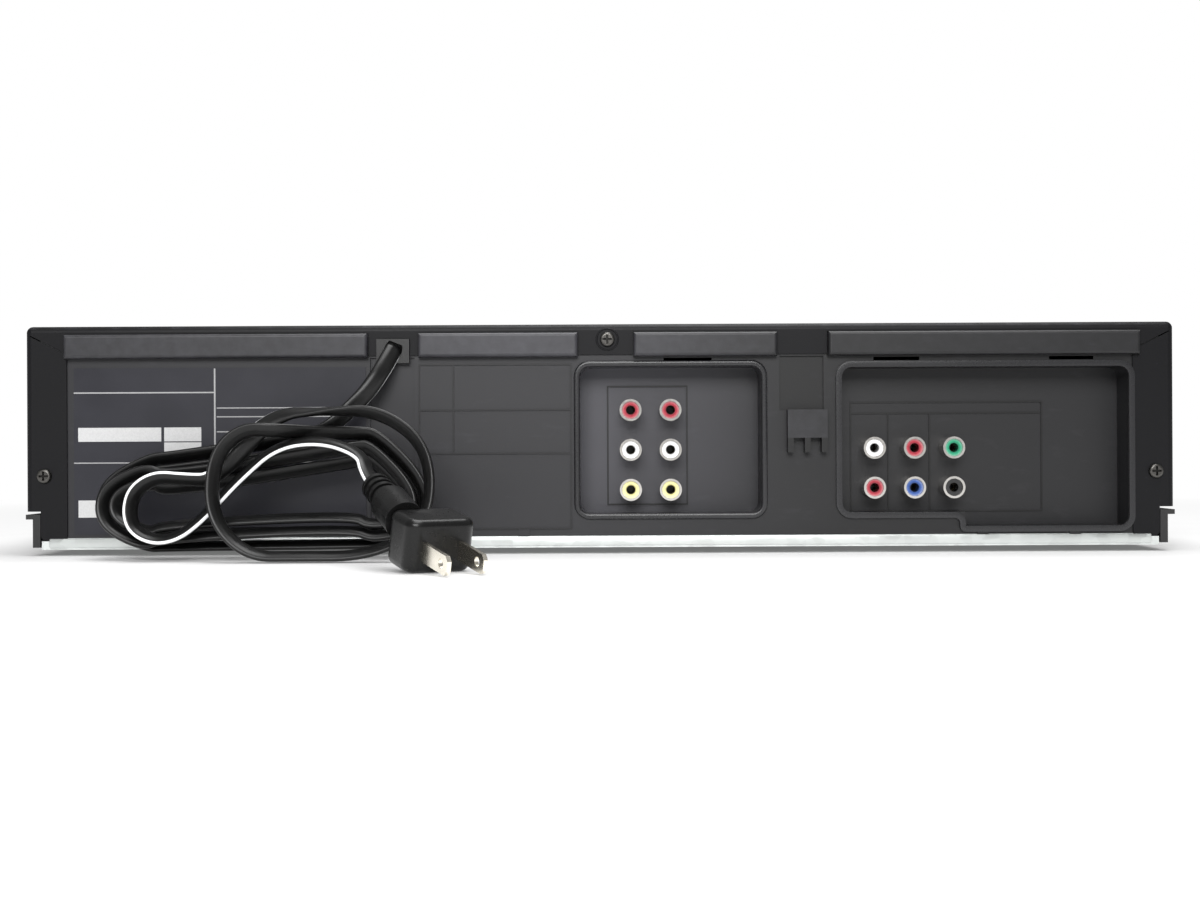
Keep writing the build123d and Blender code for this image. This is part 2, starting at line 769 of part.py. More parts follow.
hank_gap, closest = min((flat_gap(a, b), tuple(a)) for index, (s, a) in enumerate(samples)
                        for t, b in samples[index + 1:] if t - s > 3 * cord_width)
tightest = min(edge.radius for edge in hank_edges if edge.geom_type == GeomType.CIRCLE)
print("cord_hank length", round(hank_length, 1), "least gap", round(hank_gap, 2),
      "tightest bend", round(tightest, 1),
      "volume over section times length", round(cord_hank.part.volume / (cord_section * hank_length), 4))
if hank_gap < cord_gap_least:
    print("the hank's turns are too close at", closest)

# Plug: a moulded body with a slanted barrel and a ribbed strain relief, and two flat blades
plug_across = Vector(1, 0, 0).rotate(Axis.Z, plug_turn)
plug_up = Vector(0, 0, 1).rotate(Axis((0, 0, 0), plug_across), -degrees(plug_tilt))
blade_tip = (plug_depth / 2 + blade_length, blade_height - blade_width / 2)
plug_lift = blade_tip[0] * sin(plug_tilt) - blade_tip[1] * cos(plug_tilt) + contact_clearance
plug_plane = Plane(origin=plug_place + Vector(0, 0, plug_lift), x_dir=plug_across, z_dir=plug_up)
relief_start = barrel_start + relief_direction * barrel_length
relief_end = relief_start + relief_direction * relief_length
blade_places = (-blade_spacing / 2, blade_spacing / 2)
with BuildPart() as plug_body:
    with BuildSketch(plug_plane):
        Rectangle(plug_width, plug_depth)
    extrude(amount=plug_height)
    sides = plug_body.edges().filter_by(lambda edge: abs(edge.tangent_at(0).dot(plug_up)) > 0.99)
    fillet(sides, plug_side_rounding)
    fillet(plug_body.faces().sort_by(lambda face: face.center().dot(plug_up))[-1].edges(), plug_rounding)
    fillet(plug_body.faces().sort_by(lambda face: face.center().dot(plug_up))[0].edges(), plug_rounding)
    with BuildSketch(Plane(origin=barrel_start, z_dir=relief_direction)):
        Circle(barrel_radius)
    extrude(amount=barrel_length)
    with BuildSketch(Plane(origin=relief_start, z_dir=relief_direction)):
        Circle(relief_radius)
    extrude(amount=relief_length)
    for rib in range(relief_ribs):
        place = relief_start + relief_direction * (relief_length * (rib + 0.5) / relief_ribs)
        with BuildSketch(Plane(origin=place, z_dir=relief_direction)):
            Circle(relief_radius + relief_rib_height)
        extrude(amount=relief_length / relief_ribs / 2)
    with BuildSketch(plug_plane.offset(blade_height)) as blade_seats:
        for x in blade_places:
            with Locations((x, plug_depth / 2 - blade_seat / 2)):
                Rectangle(blade_thickness, blade_seat)
    extrude(amount=blade_width / 2, both=True, mode=Mode.SUBTRACT)
keep(plug_body, "plug_body")

with BuildPart() as plug_blades:
    with BuildSketch(plug_plane.offset(blade_height)):
        for x in blade_places:
            with Locations((x, plug_depth / 2 - blade_seat + (blade_length + blade_seat) / 2)):
                Rectangle(blade_thickness, blade_length + blade_seat)
    extrude(amount=blade_width / 2, both=True)
    tips = plug_blades.edges().filter_by(lambda edge: abs(edge.tangent_at(0).dot(plug_plane.x_dir)) > 0.99)
    far_tips = tips.sort_by(lambda edge: plug_plane.to_local_coords(edge.center()).Y)[-4:]
    chamfer(far_tips, blade_thickness)
    hole_centre = plug_plane.from_local_coords(Vector(0, plug_depth / 2 + blade_hole_reach, blade_height))
    blade_side = Plane(hole_centre, x_dir=plug_plane.y_dir, z_dir=plug_plane.x_dir)
    with BuildSketch(blade_side):
        Circle(blade_hole_radius)
    extrude(amount=plug_width, both=True, mode=Mode.SUBTRACT)
keep(plug_blades, "plug_blades")

lead_along([
    hank_last,
    hank_last - Vector(plug_lead_start, 0, 0),
    hank_last + plug_lead_turn,
    relief_end + relief_direction * plug_lead_arrival,
    relief_end,
], "plug_lead")

# Front panel: a moulded fascia with the cassette slot, the tray slot, the window and button holes
door_x = (deck_x - door_width / 2, deck_x + door_width / 2)
door_z = (door_low, door_low + door_height)
hinge_y = fascia_face + door_thickness + hinge_radius
hinge_z = door_z[1] - hinge_drop
tray_x = (loader_x - tray_width / 2, loader_x + tray_width / 2)
tray_front_x = (loader_x - tray_front_width / 2, loader_x + tray_front_width / 2)
tray_front_low = tray_low + tray_thickness / 2 - tray_front_height / 2
tray_front_z = (tray_front_low, tray_front_low + tray_front_height)
fascia_inner = fascia_face + moulded_wall
front_board_face = fascia_inner + front_board_gap
front_board_x = (front_board_inset - half_width, half_width - front_board_inset)
fascia_cut = (fascia_face, fascia_inner)
hinge_ears = ((door_x[0] - slot_gap - hinge_length, door_x[0] - slot_gap),
              (door_x[1] + slot_gap, door_x[1] + slot_gap + hinge_length))
board_pins = [(x, z) for x in grown(front_board_x, -post_inset) for z in grown(front_board_z, -post_radius)]
with BuildPart() as front_panel:
    block((-half_width, half_width), (fascia_face, fascia_back), (foot_height, body_height))
    fillet(front_panel.edges().group_by(Axis.Y)[0], moulded_wall / 2)
    hollow_z = (foot_height + moulded_wall, body_height - moulded_wall)
    hollow_x = grown((-half_width, half_width), -moulded_wall)
    block(hollow_x, (fascia_inner, fascia_back), hollow_z, Mode.SUBTRACT)
    block(grown(door_x, slot_gap), fascia_cut, grown(door_z, slot_gap), Mode.SUBTRACT)
    block(grown(tray_front_x, slot_gap), fascia_cut, grown(tray_front_z, slot_gap), Mode.SUBTRACT)
    block(window_x, fascia_cut, window_z, Mode.SUBTRACT)
    for name, x, width, height in button_rows:
        hole_x = (x - width / 2 - button_gap, x + width / 2 + button_gap)
        hole_z = (button_z - height / 2 - button_gap, button_z + height / 2 + button_gap)
        block(hole_x, fascia_cut, hole_z, Mode.SUBTRACT)
    for ends in hinge_ears:
        block(ends, (fascia_inner, hinge_y + 2 * hinge_radius), grown((hinge_z, hinge_z), 2 * hinge_radius))
        bar("X", hinge_radius + hinge_fit, ends, (hinge_y, hinge_z), Mode.SUBTRACT)
    for place in board_pins:
        bar("Y", board_post_radius, (fascia_inner, front_board_face), place)
keep(front_panel, "front_panel")

# Cassette door: a flap on two pins that swings in as a cassette is pushed through it
with BuildPart() as cassette_door:
    block(door_x, (fascia_face, fascia_face + door_thickness), door_z)
    for end, ears in zip(door_x, hinge_ears):
        lug = sorted((end, end + (hinge_length if end == door_x[0] else -hinge_length)))
        lug_y = (fascia_face + door_thickness, hinge_y + hinge_radius)
        block(lug, lug_y, grown((hinge_z, hinge_z), hinge_radius))
        pin = sorted((end, ears[0] if end == door_x[0] else ears[1]))
        bar("X", hinge_radius, pin, (hinge_y, hinge_z))
keep(cassette_door, "cassette_door")

with BuildPart() as display_window:
    block(grown(window_x, -fit_gap), fascia_cut, grown(window_z, -fit_gap))
keep(display_window, "display_window")

with BuildPart() as display_module:
    module_y = (front_board_face - display_depth, front_board_face)
    block(grown(window_x, -display_margin), module_y, grown(window_z, -display_margin / 2))
keep(display_module, "display_module")

with BuildPart() as front_board:
    block(front_board_x, (front_board_face, front_board_face + board_thickness), front_board_z)
    for name, x, width, height in button_rows:
        switch_front = fascia_inner + button_flange + button_stem + button_travel + button_gap
        half = height / 3
        block((x - half, x + half), (switch_front, front_board_face), (button_z - half, button_z + half))
keep(front_board, "front_board")

# Buttons: caps with a stop flange inside the fascia and a stem that meets its switch
for name, x, width, height in button_rows:
    with BuildPart() as button:
        cap_x = (x - width / 2, x + width / 2)
        cap_z = (button_z - height / 2, button_z + height / 2)
        block(cap_x, (front_y, fascia_inner), cap_z)
        fillet(button.edges().group_by(Axis.Y)[0], button_proud / 2)
        flange_y = (fascia_inner + fit_gap, fascia_inner + button_flange)
        block(grown(cap_x, button_flange), flange_y, grown(cap_z, button_flange))
        block(cap_x, (fascia_inner, flange_y[0]), cap_z)
        stem = (flange_y[1], flange_y[1] + button_stem)
        bar("Y", height / 4, stem, (x, button_z))
    keep(button, name)

# Gears and racks with 20 degree flanks, thinned a little so that the mesh runs free
flank_angle = radians(20.0)
addendum = 0.9
dedendum = 1.25


def gear_outline(teeth, module):
    """Corner points of a spur gear whose first tooth points along +X."""
    pitch_radius = teeth * module / 2
    base_radius = pitch_radius * cos(flank_angle)
    tip_radius = pitch_radius + addendum * module
    half_tooth = (pi * module - gear_backlash) / (4 * pitch_radius) + tan(flank_angle) - flank_angle
    flank = [(pitch_radius - dedendum * module, half_tooth)]
    for share in (0.0, 0.5, 1.0):
        radius = base_radius + (tip_radius - base_radius) * share
        roll = acos(base_radius / radius)
        flank.append((radius, half_tooth - tan(roll) + roll))
    points = []
    for tooth in range(teeth):
        centre = 2 * pi * tooth / teeth
        sides = [(radius, centre - angle) for radius, angle in flank]
        sides += [(radius, centre + angle) for radius, angle in reversed(flank)]
        points += [(radius * cos(angle), radius * sin(angle)) for radius, angle in sides]
    return points


def rack_outline(module, ends, gap_at, back):
    """Corner points of a rack along Y whose teeth point along -X, with a gap at one place."""
    pitch = pi * module
    first = int((ends[0] - gap_at) / pitch) + 1
    last = int((ends[1] - gap_at) / pitch) - 1
    half = (pitch - gear_backlash) / 4
    tip_half = half - addendum * module * tan(flank_angle)
    root_half = half + dedendum * module * tan(flank_angle)
    points = [(back, ends[0]), (dedendum * module, ends[0])]
    for tooth in range(first, last + 1):
        middle = gap_at + (tooth + 0.5) * pitch
        points += [(dedendum * module, middle - root_half), (-addendum * module, middle - tip_half),
                   (-addendum * module, middle + tip_half), (dedendum * module, middle + root_half)]
    return points + [(dedendum * module, ends[1]), (back, ends[1])]


# Disc loader: a tub with ledges for the tray, a gear post and ears for the traverse
loader_half = loader_width / 2
loader_in = loader_half - moulded_wall
traverse_half = traverse_width / 2
pivot_z = traverse_low + traverse_thickness / 2
tray_gear_radius = tray_module * tray_teeth / 2
tray_gear_low = tray_low - fit_gap - gear_face - gear_backlash
ear_start = traverse_half + ear_gap
ears_x = [(loader_x + side * ear_start, loader_x + side * (ear_start + ear_thickness)) for side in (-1, 1)]
with BuildPart() as loader_frame:
    loader_x_span = (loader_x - loader_half, loader_x + loader_half)
    loader_wall_z = (loader_top, loader_base_z + loader_height)
    block(loader_x_span, loader_y, (loader_base_z, loader_top))
    opening_x = (loader_x - traverse_half + moulded_wall, loader_x + traverse_half - moulded_wall)
    opening_y = (traverse_y[0] + moulded_wall, traverse_pivot_y - ear_thickness)
    block(opening_x, opening_y, (loader_base_z, loader_top), Mode.SUBTRACT)
    for side in (-1, 1):
        wall = sorted((loader_x + side * loader_in, loader_x + side * loader_half))
        block(wall, loader_y, loader_wall_z)
        ledge = sorted((loader_x + side * loader_in, loader_x + side * (loader_in - ledge_width)))
        ledge_top = tray_low - tray_seat_gap
        block(ledge, loader_y, (ledge_top - ledge_height, ledge_top))
    block(loader_x_span, (loader_y[1] - moulded_wall, loader_y[1]), loader_wall_z)
    bar("Z", gear_shaft_radius * 2, (loader_top, tray_gear_low - fit_gap), (tray_gear_x, tray_gear_y))
    bar("Z", gear_shaft_radius, (loader_top, tray_gear_low + gear_face), (tray_gear_x, tray_gear_y))
    for ear in ears_x:
        ear_y = (traverse_pivot_y - 2 * pivot_radius, traverse_pivot_y + 2 * pivot_radius)
        block(sorted(ear), ear_y, (loader_top, pivot_z + 2 * pivot_radius))
        bar("X", pivot_radius + shaft_fit, sorted(ear), (traverse_pivot_y, pivot_z), Mode.SUBTRACT)
keep(loader_frame, "loader_frame")

# Disc tray: a plate with the disc well, the slot for the turntable and pickup, and the rack below
tray_y = (fascia_face + tray_front_thickness, tray_end_y)
tray_z = (tray_low, tray_low + tray_thickness)
with BuildPart() as disc_tray:
    block(tray_x, tray_y, tray_z)
    bar("Z", disc_radius, (tray_z[1] - disc_well, tray_z[1]), (loader_x, disc_y), Mode.SUBTRACT)
    slot_y = (disc_y - turntable_radius - tray_slot_gap, disc_y + disc_radius)
    block(grown((loader_x, loader_x), sled_width / 2 + tray_slot_gap), slot_y, tray_z, Mode.SUBTRACT)
    rack_y = (tray_y[0] + 2 * moulded_wall, tray_y[1])
    with BuildSketch(Plane((tray_gear_x + tray_gear_radius, 0, tray_gear_low))):
        with BuildLine():
            Polyline(*rack_outline(tray_module, rack_y, tray_gear_y, rack_back), close=True)
        make_face()
    extrude(amount=tray_low - tray_gear_low)
keep(disc_tray, "disc_tray")

with BuildPart() as tray_front:
    block(tray_front_x, (fascia_face, fascia_face + tray_front_thickness), tray_front_z)
    fillet(tray_front.edges().group_by(Axis.Y)[0], tray_front_thickness / 4)
keep(tray_front, "tray_front")

with BuildPart() as tray_gear:
    with BuildSketch(Plane((tray_gear_x, tray_gear_y, tray_gear_low))):
        with BuildLine():
            Polyline(*gear_outline(tray_teeth, tray_module), close=True)
        make_face()
        Circle(gear_shaft_radius + shaft_fit, mode=Mode.SUBTRACT)
    extrude(amount=gear_face)
keep(tray_gear, "tray_gear")

# Traverse: the lifting frame that carries the turntable motor and the pickup
sled_gear_radius = sled_module * sled_teeth / 2
sled_half = sled_width / 2
sled_rack_x = loader_x + sled_half + dedendum * sled_module
sled_gear_x = sled_rack_x + sled_gear_radius
rod_places = (loader_x - rod_spread / 2, loader_x + rod_spread / 2)
rod_z = sled_low + sled_thickness / 2
sled_gear_low = traverse_top + fit_gap
with BuildPart() as traverse_frame:
    block((loader_x - traverse_half, loader_x + traverse_half), traverse_y, (traverse_low, traverse_top))
    bar("Z", spindle_radius + rod_radius, (traverse_low, traverse_top), (loader_x, disc_y), Mode.SUBTRACT)
    for side in (-1, 1):
        pin = sorted(loader_x + side * reach for reach in grown((traverse_half, traverse_half), pivot_length))
        bar("X", pivot_radius, pin, (traverse_pivot_y, pivot_z))
    for x in rod_places:
        for y in ((rod_y[0], rod_y[0] + rod_block), (rod_y[1] - rod_block, rod_y[1])):
            block((x - rod_radius, x + rod_radius), y, (traverse_top, rod_z - rod_radius))
    bar("Z", gear_shaft_radius, (traverse_top, sled_gear_low + gear_face), (sled_gear_x, sled_gear_y))
keep(traverse_frame, "traverse_frame")

with BuildPart() as guide_rods:
    for x in rod_places:
        bar("Y", rod_radius, rod_y, (x, rod_z))
keep(guide_rods, "guide_rods")

with BuildPart() as spindle_motor:
    bar("Z", motor_radius, (traverse_low - motor_height, traverse_low), (loader_x, disc_y))
    bar("Z", spindle_radius, (traverse_low, turntable_low + turntable_thickness), (loader_x, disc_y))
keep(spindle_motor, "spindle_motor")

with BuildPart() as turntable:
    bar("Z", turntable_radius, (turntable_low, turntable_low + turntable_thickness), (loader_x, disc_y))
    hub_top = turntable_low + turntable_thickness + turntable_hub_height
    bar("Z", turntable_hub_radius, (turntable_low, hub_top), (loader_x, disc_y))
    fillet(turntable.edges().group_by(Axis.Z)[-1], turntable_hub_height / 2)
    notch_y = grown((disc_y, disc_y), turntable_notch)
    notch_z = (turntable_low + turntable_thickness, hub_top)
    for side in (-1, 1):
        rim = loader_x + side * turntable_hub_radius
        block(grown((rim, rim), turntable_notch), notch_y, notch_z, Mode.SUBTRACT)
    spindle_bore = (turntable_low, turntable_low + turntable_thickness + shaft_fit)
    bar("Z", spindle_radius + shaft_fit, spindle_bore, (loader_x, disc_y), Mode.SUBTRACT)
keep(turntable, "turntable")

with BuildPart() as pickup_sled:
    sled_top = sled_low + sled_thickness
    block((loader_x - sled_half, loader_x + sled_half), sled_y, (sled_low, sled_top))
    bar("Z", lens_radius, (sled_top, sled_top + lens_height), (loader_x, lens_y))
    for x in rod_places:
        bar("Y", rod_radius + shaft_fit, sled_y, (x, rod_z), Mode.SUBTRACT)
    rack_ends = (sled_y[0], sled_rack_end_y)
    with BuildSketch(Plane((sled_rack_x, 0, sled_low), x_dir=(-1, 0, 0), z_dir=(0, 0, -1))):
        with BuildLine():
            Polyline(*rack_outline(sled_module, rack_ends, sled_gear_y, rack_back / 2), close=True)
        make_face()
    extrude(amount=-(gear_face - 2 * fit_gap))
keep(pickup_sled, "pickup_sled")

with BuildPart() as sled_gear:
    with BuildSketch(Plane((sled_gear_x, sled_gear_y, sled_gear_low))):
        with BuildLine():
            Polyline(*gear_outline(sled_teeth, sled_module), close=True)
        make_face()
        Circle(gear_shaft_radius + shaft_fit, mode=Mode.SUBTRACT)
    extrude(amount=gear_face)
keep(sled_gear, "sled_gear")

# Tape deck: a steel plate with side walls, posts for the reels and a bush for the capstan
deck_half = deck_width / 2
reel_places = ((deck_x - reel_spacing / 2, reel_y), (deck_x + reel_spacing / 2, reel_y))
reel_low = deck_top + reel_lift
reel_top = reel_low + reel_thickness + reel_hub_height
capstan_place = (capstan_x, capstan_y)
closed_reach = pinch_roller_radius + capstan_radius + pinch_gap
closed_roller = Vector(capstan_x, capstan_y + closed_reach)
open_roller = pinch_pivot + (closed_roller - pinch_pivot).rotate(Axis.Z, pinch_swing)
arm_top = pinch_arm_low + pinch_arm_thickness
with BuildPart() as deck_chassis:
    block((deck_x - deck_half, deck_x + deck_half), deck_y, (deck_low, deck_top))
    for side in (-1, 1):
        wall = sorted((deck_x + side * deck_half, deck_x + side * (deck_half - deck_sheet)))
        block(wall, deck_wall_y, (deck_top, deck_wall_top))
        for y in carriage_pin_y:
            slot_half = carriage_pin_radius + carriage_pin_fit
            slot_z = (carriage_pin_z - carriage_drop - slot_half, carriage_pin_z + slot_half)
            block(wall, (y - slot_half, y + slot_half), slot_z, Mode.SUBTRACT)
    for place in reel_places:
        bar("Z", reel_post_radius, (deck_top, reel_top), place)
    bar("Z", capstan_radius + shaft_fit, (deck_low, deck_top), capstan_place, Mode.SUBTRACT)
    bar("Z", 2 * pinch_post_radius, (deck_top, pinch_arm_low - fit_gap), (pinch_pivot.X, pinch_pivot.Y))
    bar("Z", pinch_post_radius, (deck_top, arm_top + pinch_arm_thickness), (pinch_pivot.X, pinch_pivot.Y))
keep(deck_chassis, "deck_chassis")

for name, place in zip(("supply_reel", "take_up_reel"), reel_places):
    with BuildPart() as reel:
        bar("Z", reel_radius, (reel_low, reel_low + reel_thickness), place)
        bar("Z", reel_hub_radius, (reel_low, reel_top), place)
        for turn in range(3):
            fin = Vector(reel_hub_radius, 0).rotate(Axis.Z, 120 * turn) + Vector(*place)
            bar("Z", reel_post_radius, (reel_low, reel_top), (fin.X, fin.Y))
        bar("Z", reel_post_radius + shaft_fit, (reel_low, reel_top), place, Mode.SUBTRACT)
    keep(reel, name)

# Head drum: a fixed lower half with the shaft, and the spinning upper half with its head windows
drum_place = (deck_x, drum_y)
lower_top = deck_top + drum_base_height + lower_drum_height
upper_low = lower_top + drum_gap
upper_top = upper_low + upper_drum_height
with BuildPart() as lower_drum:
    bar("Z", drum_base_radius, (deck_top, deck_top + drum_base_height), drum_place)
    bar("Z", drum_radius, (deck_top + drum_base_height, lower_top), drum_place)
    bar("Z", drum_shaft_radius, (lower_top, upper_top + drum_base_height), drum_place)
keep(lower_drum, "lower_drum")

with BuildPart() as upper_drum:
    bar("Z", drum_radius, (upper_low, upper_top), drum_place)
    for turn in range(4):
        window = Vector(drum_radius, 0).rotate(Axis.Z, 90 * turn) + Vector(*drum_place)
        window_x_span = (window.X - head_window / 2, window.X + head_window / 2)
        window_y_span = (window.Y - head_window / 2, window.Y + head_window / 2)
        block(window_x_span, window_y_span, (upper_low, upper_low + head_window), Mode.SUBTRACT)
    bar("Z", drum_shaft_radius + shaft_fit, (upper_low, upper_top), drum_place, Mode.SUBTRACT)
keep(upper_drum, "upper_drum")

with BuildPart() as capstan:
    bar("Z", capstan_radius, (flywheel_z[0], capstan_top), capstan_place)
    bar("Z", flywheel_radius, flywheel_z, capstan_place)
    for turn in range(3):
        hole = Vector(flywheel_hole_reach, 0).rotate(Axis.Z, 120 * turn) + Vector(*capstan_place)
        bar("Z", flywheel_hole_radius, flywheel_z, (hole.X, hole.Y), Mode.SUBTRACT)
keep(capstan, "capstan")

# Pinch arm and roller, stored open and swung against the capstan to pull the tape
arm_along = (open_roller - pinch_pivot).normalized()
arm_start = (pinch_pivot.X, pinch_pivot.Y, pinch_arm_low)
arm_plane = Plane(origin=arm_start, x_dir=(arm_along.X, arm_along.Y, 0), z_dir=(0, 0, 1))
arm_length = (open_roller - pinch_pivot).length
with BuildPart() as pinch_arm:
    with BuildSketch(arm_plane):
        with Locations((arm_length / 2, 0)):
            SlotCenterToCenter(arm_length, pinch_arm_width)
        Circle(pinch_post_radius + shaft_fit, mode=Mode.SUBTRACT)
    extrude(amount=pinch_arm_thickness)
    bar("Z", pinch_pin_radius, (arm_top, arm_top + pinch_roller_height), (open_roller.X, open_roller.Y))
keep(pinch_arm, "pinch_arm")

with BuildPart() as pinch_roller:
    roller_z = (arm_top + fit_gap, arm_top + pinch_roller_height)
    bar("Z", pinch_roller_radius, roller_z, (open_roller.X, open_roller.Y))
    bar("Z", pinch_pin_radius + shaft_fit, roller_z, (open_roller.X, open_roller.Y), Mode.SUBTRACT)
keep(pinch_roller, "pinch_roller")

# Cassette carriage: an open cage on pins that drops with the cassette onto the reels
carriage_half = deck_half - deck_sheet - carriage_side_gap
carriage_top = carriage_low + carriage_height
with BuildPart() as cassette_carriage:
    carriage_x = (deck_x - carriage_half, deck_x + carriage_half)
    block(carriage_x, carriage_y, (carriage_low, carriage_low + carriage_sheet))
    for place in reel_places:
        reach = reel_radius + reel_clearance
        bar("Z", reach, (carriage_low, carriage_low + carriage_sheet), place, Mode.SUBTRACT)
    for side in (-1, 1):
        wall = sorted((deck_x + side * carriage_half, deck_x + side * (carriage_half - carriage_sheet)))
        block(wall, carriage_y, (carriage_low, carriage_top))
        strap = sorted((deck_x + side * carriage_half, deck_x + side * (carriage_half - carriage_strap)))
        block(strap, carriage_y, (carriage_top - carriage_sheet, carriage_top))
        for y in carriage_pin_y:
            pin = sorted((deck_x + side * carriage_half, deck_x + side * deck_half))
            bar("X", carriage_pin_radius, pin, (y, carriage_pin_z))
keep(cassette_carriage, "cassette_carriage")

# Boards, the mains transformer and the main capacitor
for name, ends, depth in (("main_board", main_board_x, main_board_y),
                          ("power_board", power_board_x, power_board_y)):
    with BuildPart() as board:
        block(ends, depth, (board_z, board_top))
    keep(board, name)

with BuildPart() as transformer:
    block(transformer_x, transformer_y, (board_top, board_top + transformer_height))
    winding_z = grown((board_top, board_top + transformer_height), -winding_inset)
    block(grown(transformer_x, -winding_inset), grown(transformer_y, winding_bulge), winding_z)
keep(transformer, "transformer")

with BuildPart() as capacitor:
    bar("Z", capacitor_radius, (board_top, board_top + capacitor_height), (capacitor_x, capacitor_y))
    fillet(capacitor.edges().group_by(Axis.Z)[-1], capacitor_rounding)
keep(capacitor, "capacitor")
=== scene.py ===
# %% [markdown]
# # A tape and disc player, seen from behind
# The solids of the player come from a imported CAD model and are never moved. This lesson dresses
# them: it sets the camera, lays the mains lead, gives every surface a finish of its own, adds the
# small trim that a moulder or a press would leave, and lights the whole on a white sweep.

# %% Load the frame
import math

import bmesh
import bpy
from mathutils import Matrix, Vector


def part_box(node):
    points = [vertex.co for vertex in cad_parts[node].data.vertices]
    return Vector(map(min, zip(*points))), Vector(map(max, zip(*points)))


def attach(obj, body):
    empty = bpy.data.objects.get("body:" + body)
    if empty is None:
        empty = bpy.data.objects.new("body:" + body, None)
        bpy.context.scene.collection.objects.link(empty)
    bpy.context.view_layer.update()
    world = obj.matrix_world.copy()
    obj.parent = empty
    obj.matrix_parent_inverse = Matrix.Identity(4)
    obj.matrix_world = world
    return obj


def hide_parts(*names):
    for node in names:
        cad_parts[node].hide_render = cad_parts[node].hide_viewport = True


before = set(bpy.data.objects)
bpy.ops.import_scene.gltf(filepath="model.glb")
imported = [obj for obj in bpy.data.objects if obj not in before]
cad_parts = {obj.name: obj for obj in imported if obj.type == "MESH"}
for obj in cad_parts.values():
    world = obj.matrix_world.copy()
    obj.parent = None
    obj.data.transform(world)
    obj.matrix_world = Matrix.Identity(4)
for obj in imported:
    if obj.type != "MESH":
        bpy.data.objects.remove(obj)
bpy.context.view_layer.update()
scene = bpy.context.scene
scene.view_settings.view_transform = "Standard"


# %% [markdown]
# ## Camera
# The photograph was taken straight on to the back, from a little under half the height of the case:
# its top isn't seen, and the floor runs away into white. A constraint could aim the camera. Here its
# matrix is written out, so that its lean of a quarter of a degree is plain to see. At 0.6 m behind
# the case, with a lens a little longer than normal, it gives the perspective of the socket bays.

# %% Camera
rear_face = 0.128
camera_distance = 0.600
camera_height = 0.0386
camera_lean = math.radians(-0.28)

camera_data = bpy.data.cameras.new("photo_camera")
camera_data.sensor_width = 36.0
camera_data.lens = 48.1
camera_data.clip_start = 0.01
camera = bpy.data.objects.new("photo_camera", camera_data)
bpy.context.collection.objects.link(camera)
look_back = Matrix.Rotation(math.pi, 4, "Z") @ Matrix.Rotation(math.pi / 2, 4, "X")
camera.matrix_world = (
    Matrix.Translation((0.0, rear_face + camera_distance, camera_height))
    @ look_back @ Matrix.Rotation(camera_lean, 4, "Z")
)
scene.camera = camera
print("camera", [round(value, 4) for value in camera.location])

# %% [markdown]
# ## The mains lead's route
# The lead is a flat twin cable. It drops from its bushing, winds twice in and twice out again as a
# hank that leans towards the case, ties itself once round, makes a last loose loop and ends in the
# plug. It could be drawn point by point on its own axis. A NURBS curve of order 3 is smooth and stays
# close to its control points, as a springy cable does, so a few of them are enough: for every turn a
# long octagon with two more points on each run, worked out by a loop, and for the knot and the last
# loop points given one by one.

# %% Places along the hank
MM = 0.001
lead_width = 6.8 * MM
lead_thickness = 3.4 * MM
hank_lean = math.radians(10.0)

# The hank's own places are in millimetres, and hank_point turns them into metres.
hank_foot_y = 148.0
hank_pitch = 4.8
hank_climb_step = 0.7
hank_layer_pitch = 7.6
hank_turns_per_layer = 2
hank_right_x = 62.0
hank_left_x = 178.0
lobe_swell = 4.0  # the left lobe is this much wider than the solid lead's
run_slack = 7.0  # the second layer's runs sag by up to this much
hank_left_top = 37.5
hank_right_top = 46.0
hank_run_right = 88.0
hank_run_left = 157.0
floor_gap = 0.05
hank_bottom = (lead_thickness + lead_width * math.sin(hank_lean)) / MM / 2 + floor_gap
points_per_turn = 12
corner_share = 0.45
hank_up = Vector((0.0, -math.sin(hank_lean), math.cos(hank_lean)))
hank_out = Vector((0.0, math.cos(hank_lean), math.sin(hank_lean)))


def hank_point(x, height, layer):
    """A place on the hank, in metres: along the case, up the leaning face and out by layers."""
    return (Vector((x, hank_foot_y + layer * hank_layer_pitch, 0.0)) + hank_up * height) * MM


def hank_turn(turn):
    """The control points of one turn, which starts and ends at the right of the top run."""
    layer = turn // hank_turns_per_layer
    middle = (hank_bottom + hank_left_top) / 2
    points = []
    for step in range(points_per_turn):
        travelled = turn + step / points_per_turn
        inset = hank_pitch * (travelled if layer == 0 else 2 * hank_turns_per_layer - travelled)
        bow = corner_share * (hank_left_top - hank_bottom - 2 * inset) / 2
        climbing = turn == hank_turns_per_layer and step == 0
        slack = layer * run_slack
        octagon = (
            (hank_run_right, hank_right_top - inset - (hank_climb_step if climbing else 0.0)),
            (hank_run_left, hank_left_top - inset - slack / 2),
            (hank_run_left + bow, hank_left_top - inset),
            (hank_left_x + lobe_swell - inset, middle + bow),
            (hank_left_x + lobe_swell - inset, middle - bow),
            (hank_run_left + bow, hank_bottom + inset),
            (hank_run_left, hank_bottom + inset + slack / 2),
            (hank_run_right, hank_bottom + inset + slack),
            (hank_run_right - bow, hank_bottom + inset + slack / 2),
            (hank_right_x + inset, middle - bow),
            (hank_right_x + inset, middle + bow),
            (hank_run_right - bow, hank_right_top - inset),
        )
        points.append(hank_point(*octagon[step], 0 if climbing else layer))
    return points


print("hank of", 2 * hank_turns_per_layer, "turns, its lowest run", round(hank_bottom, 2), "mm up")

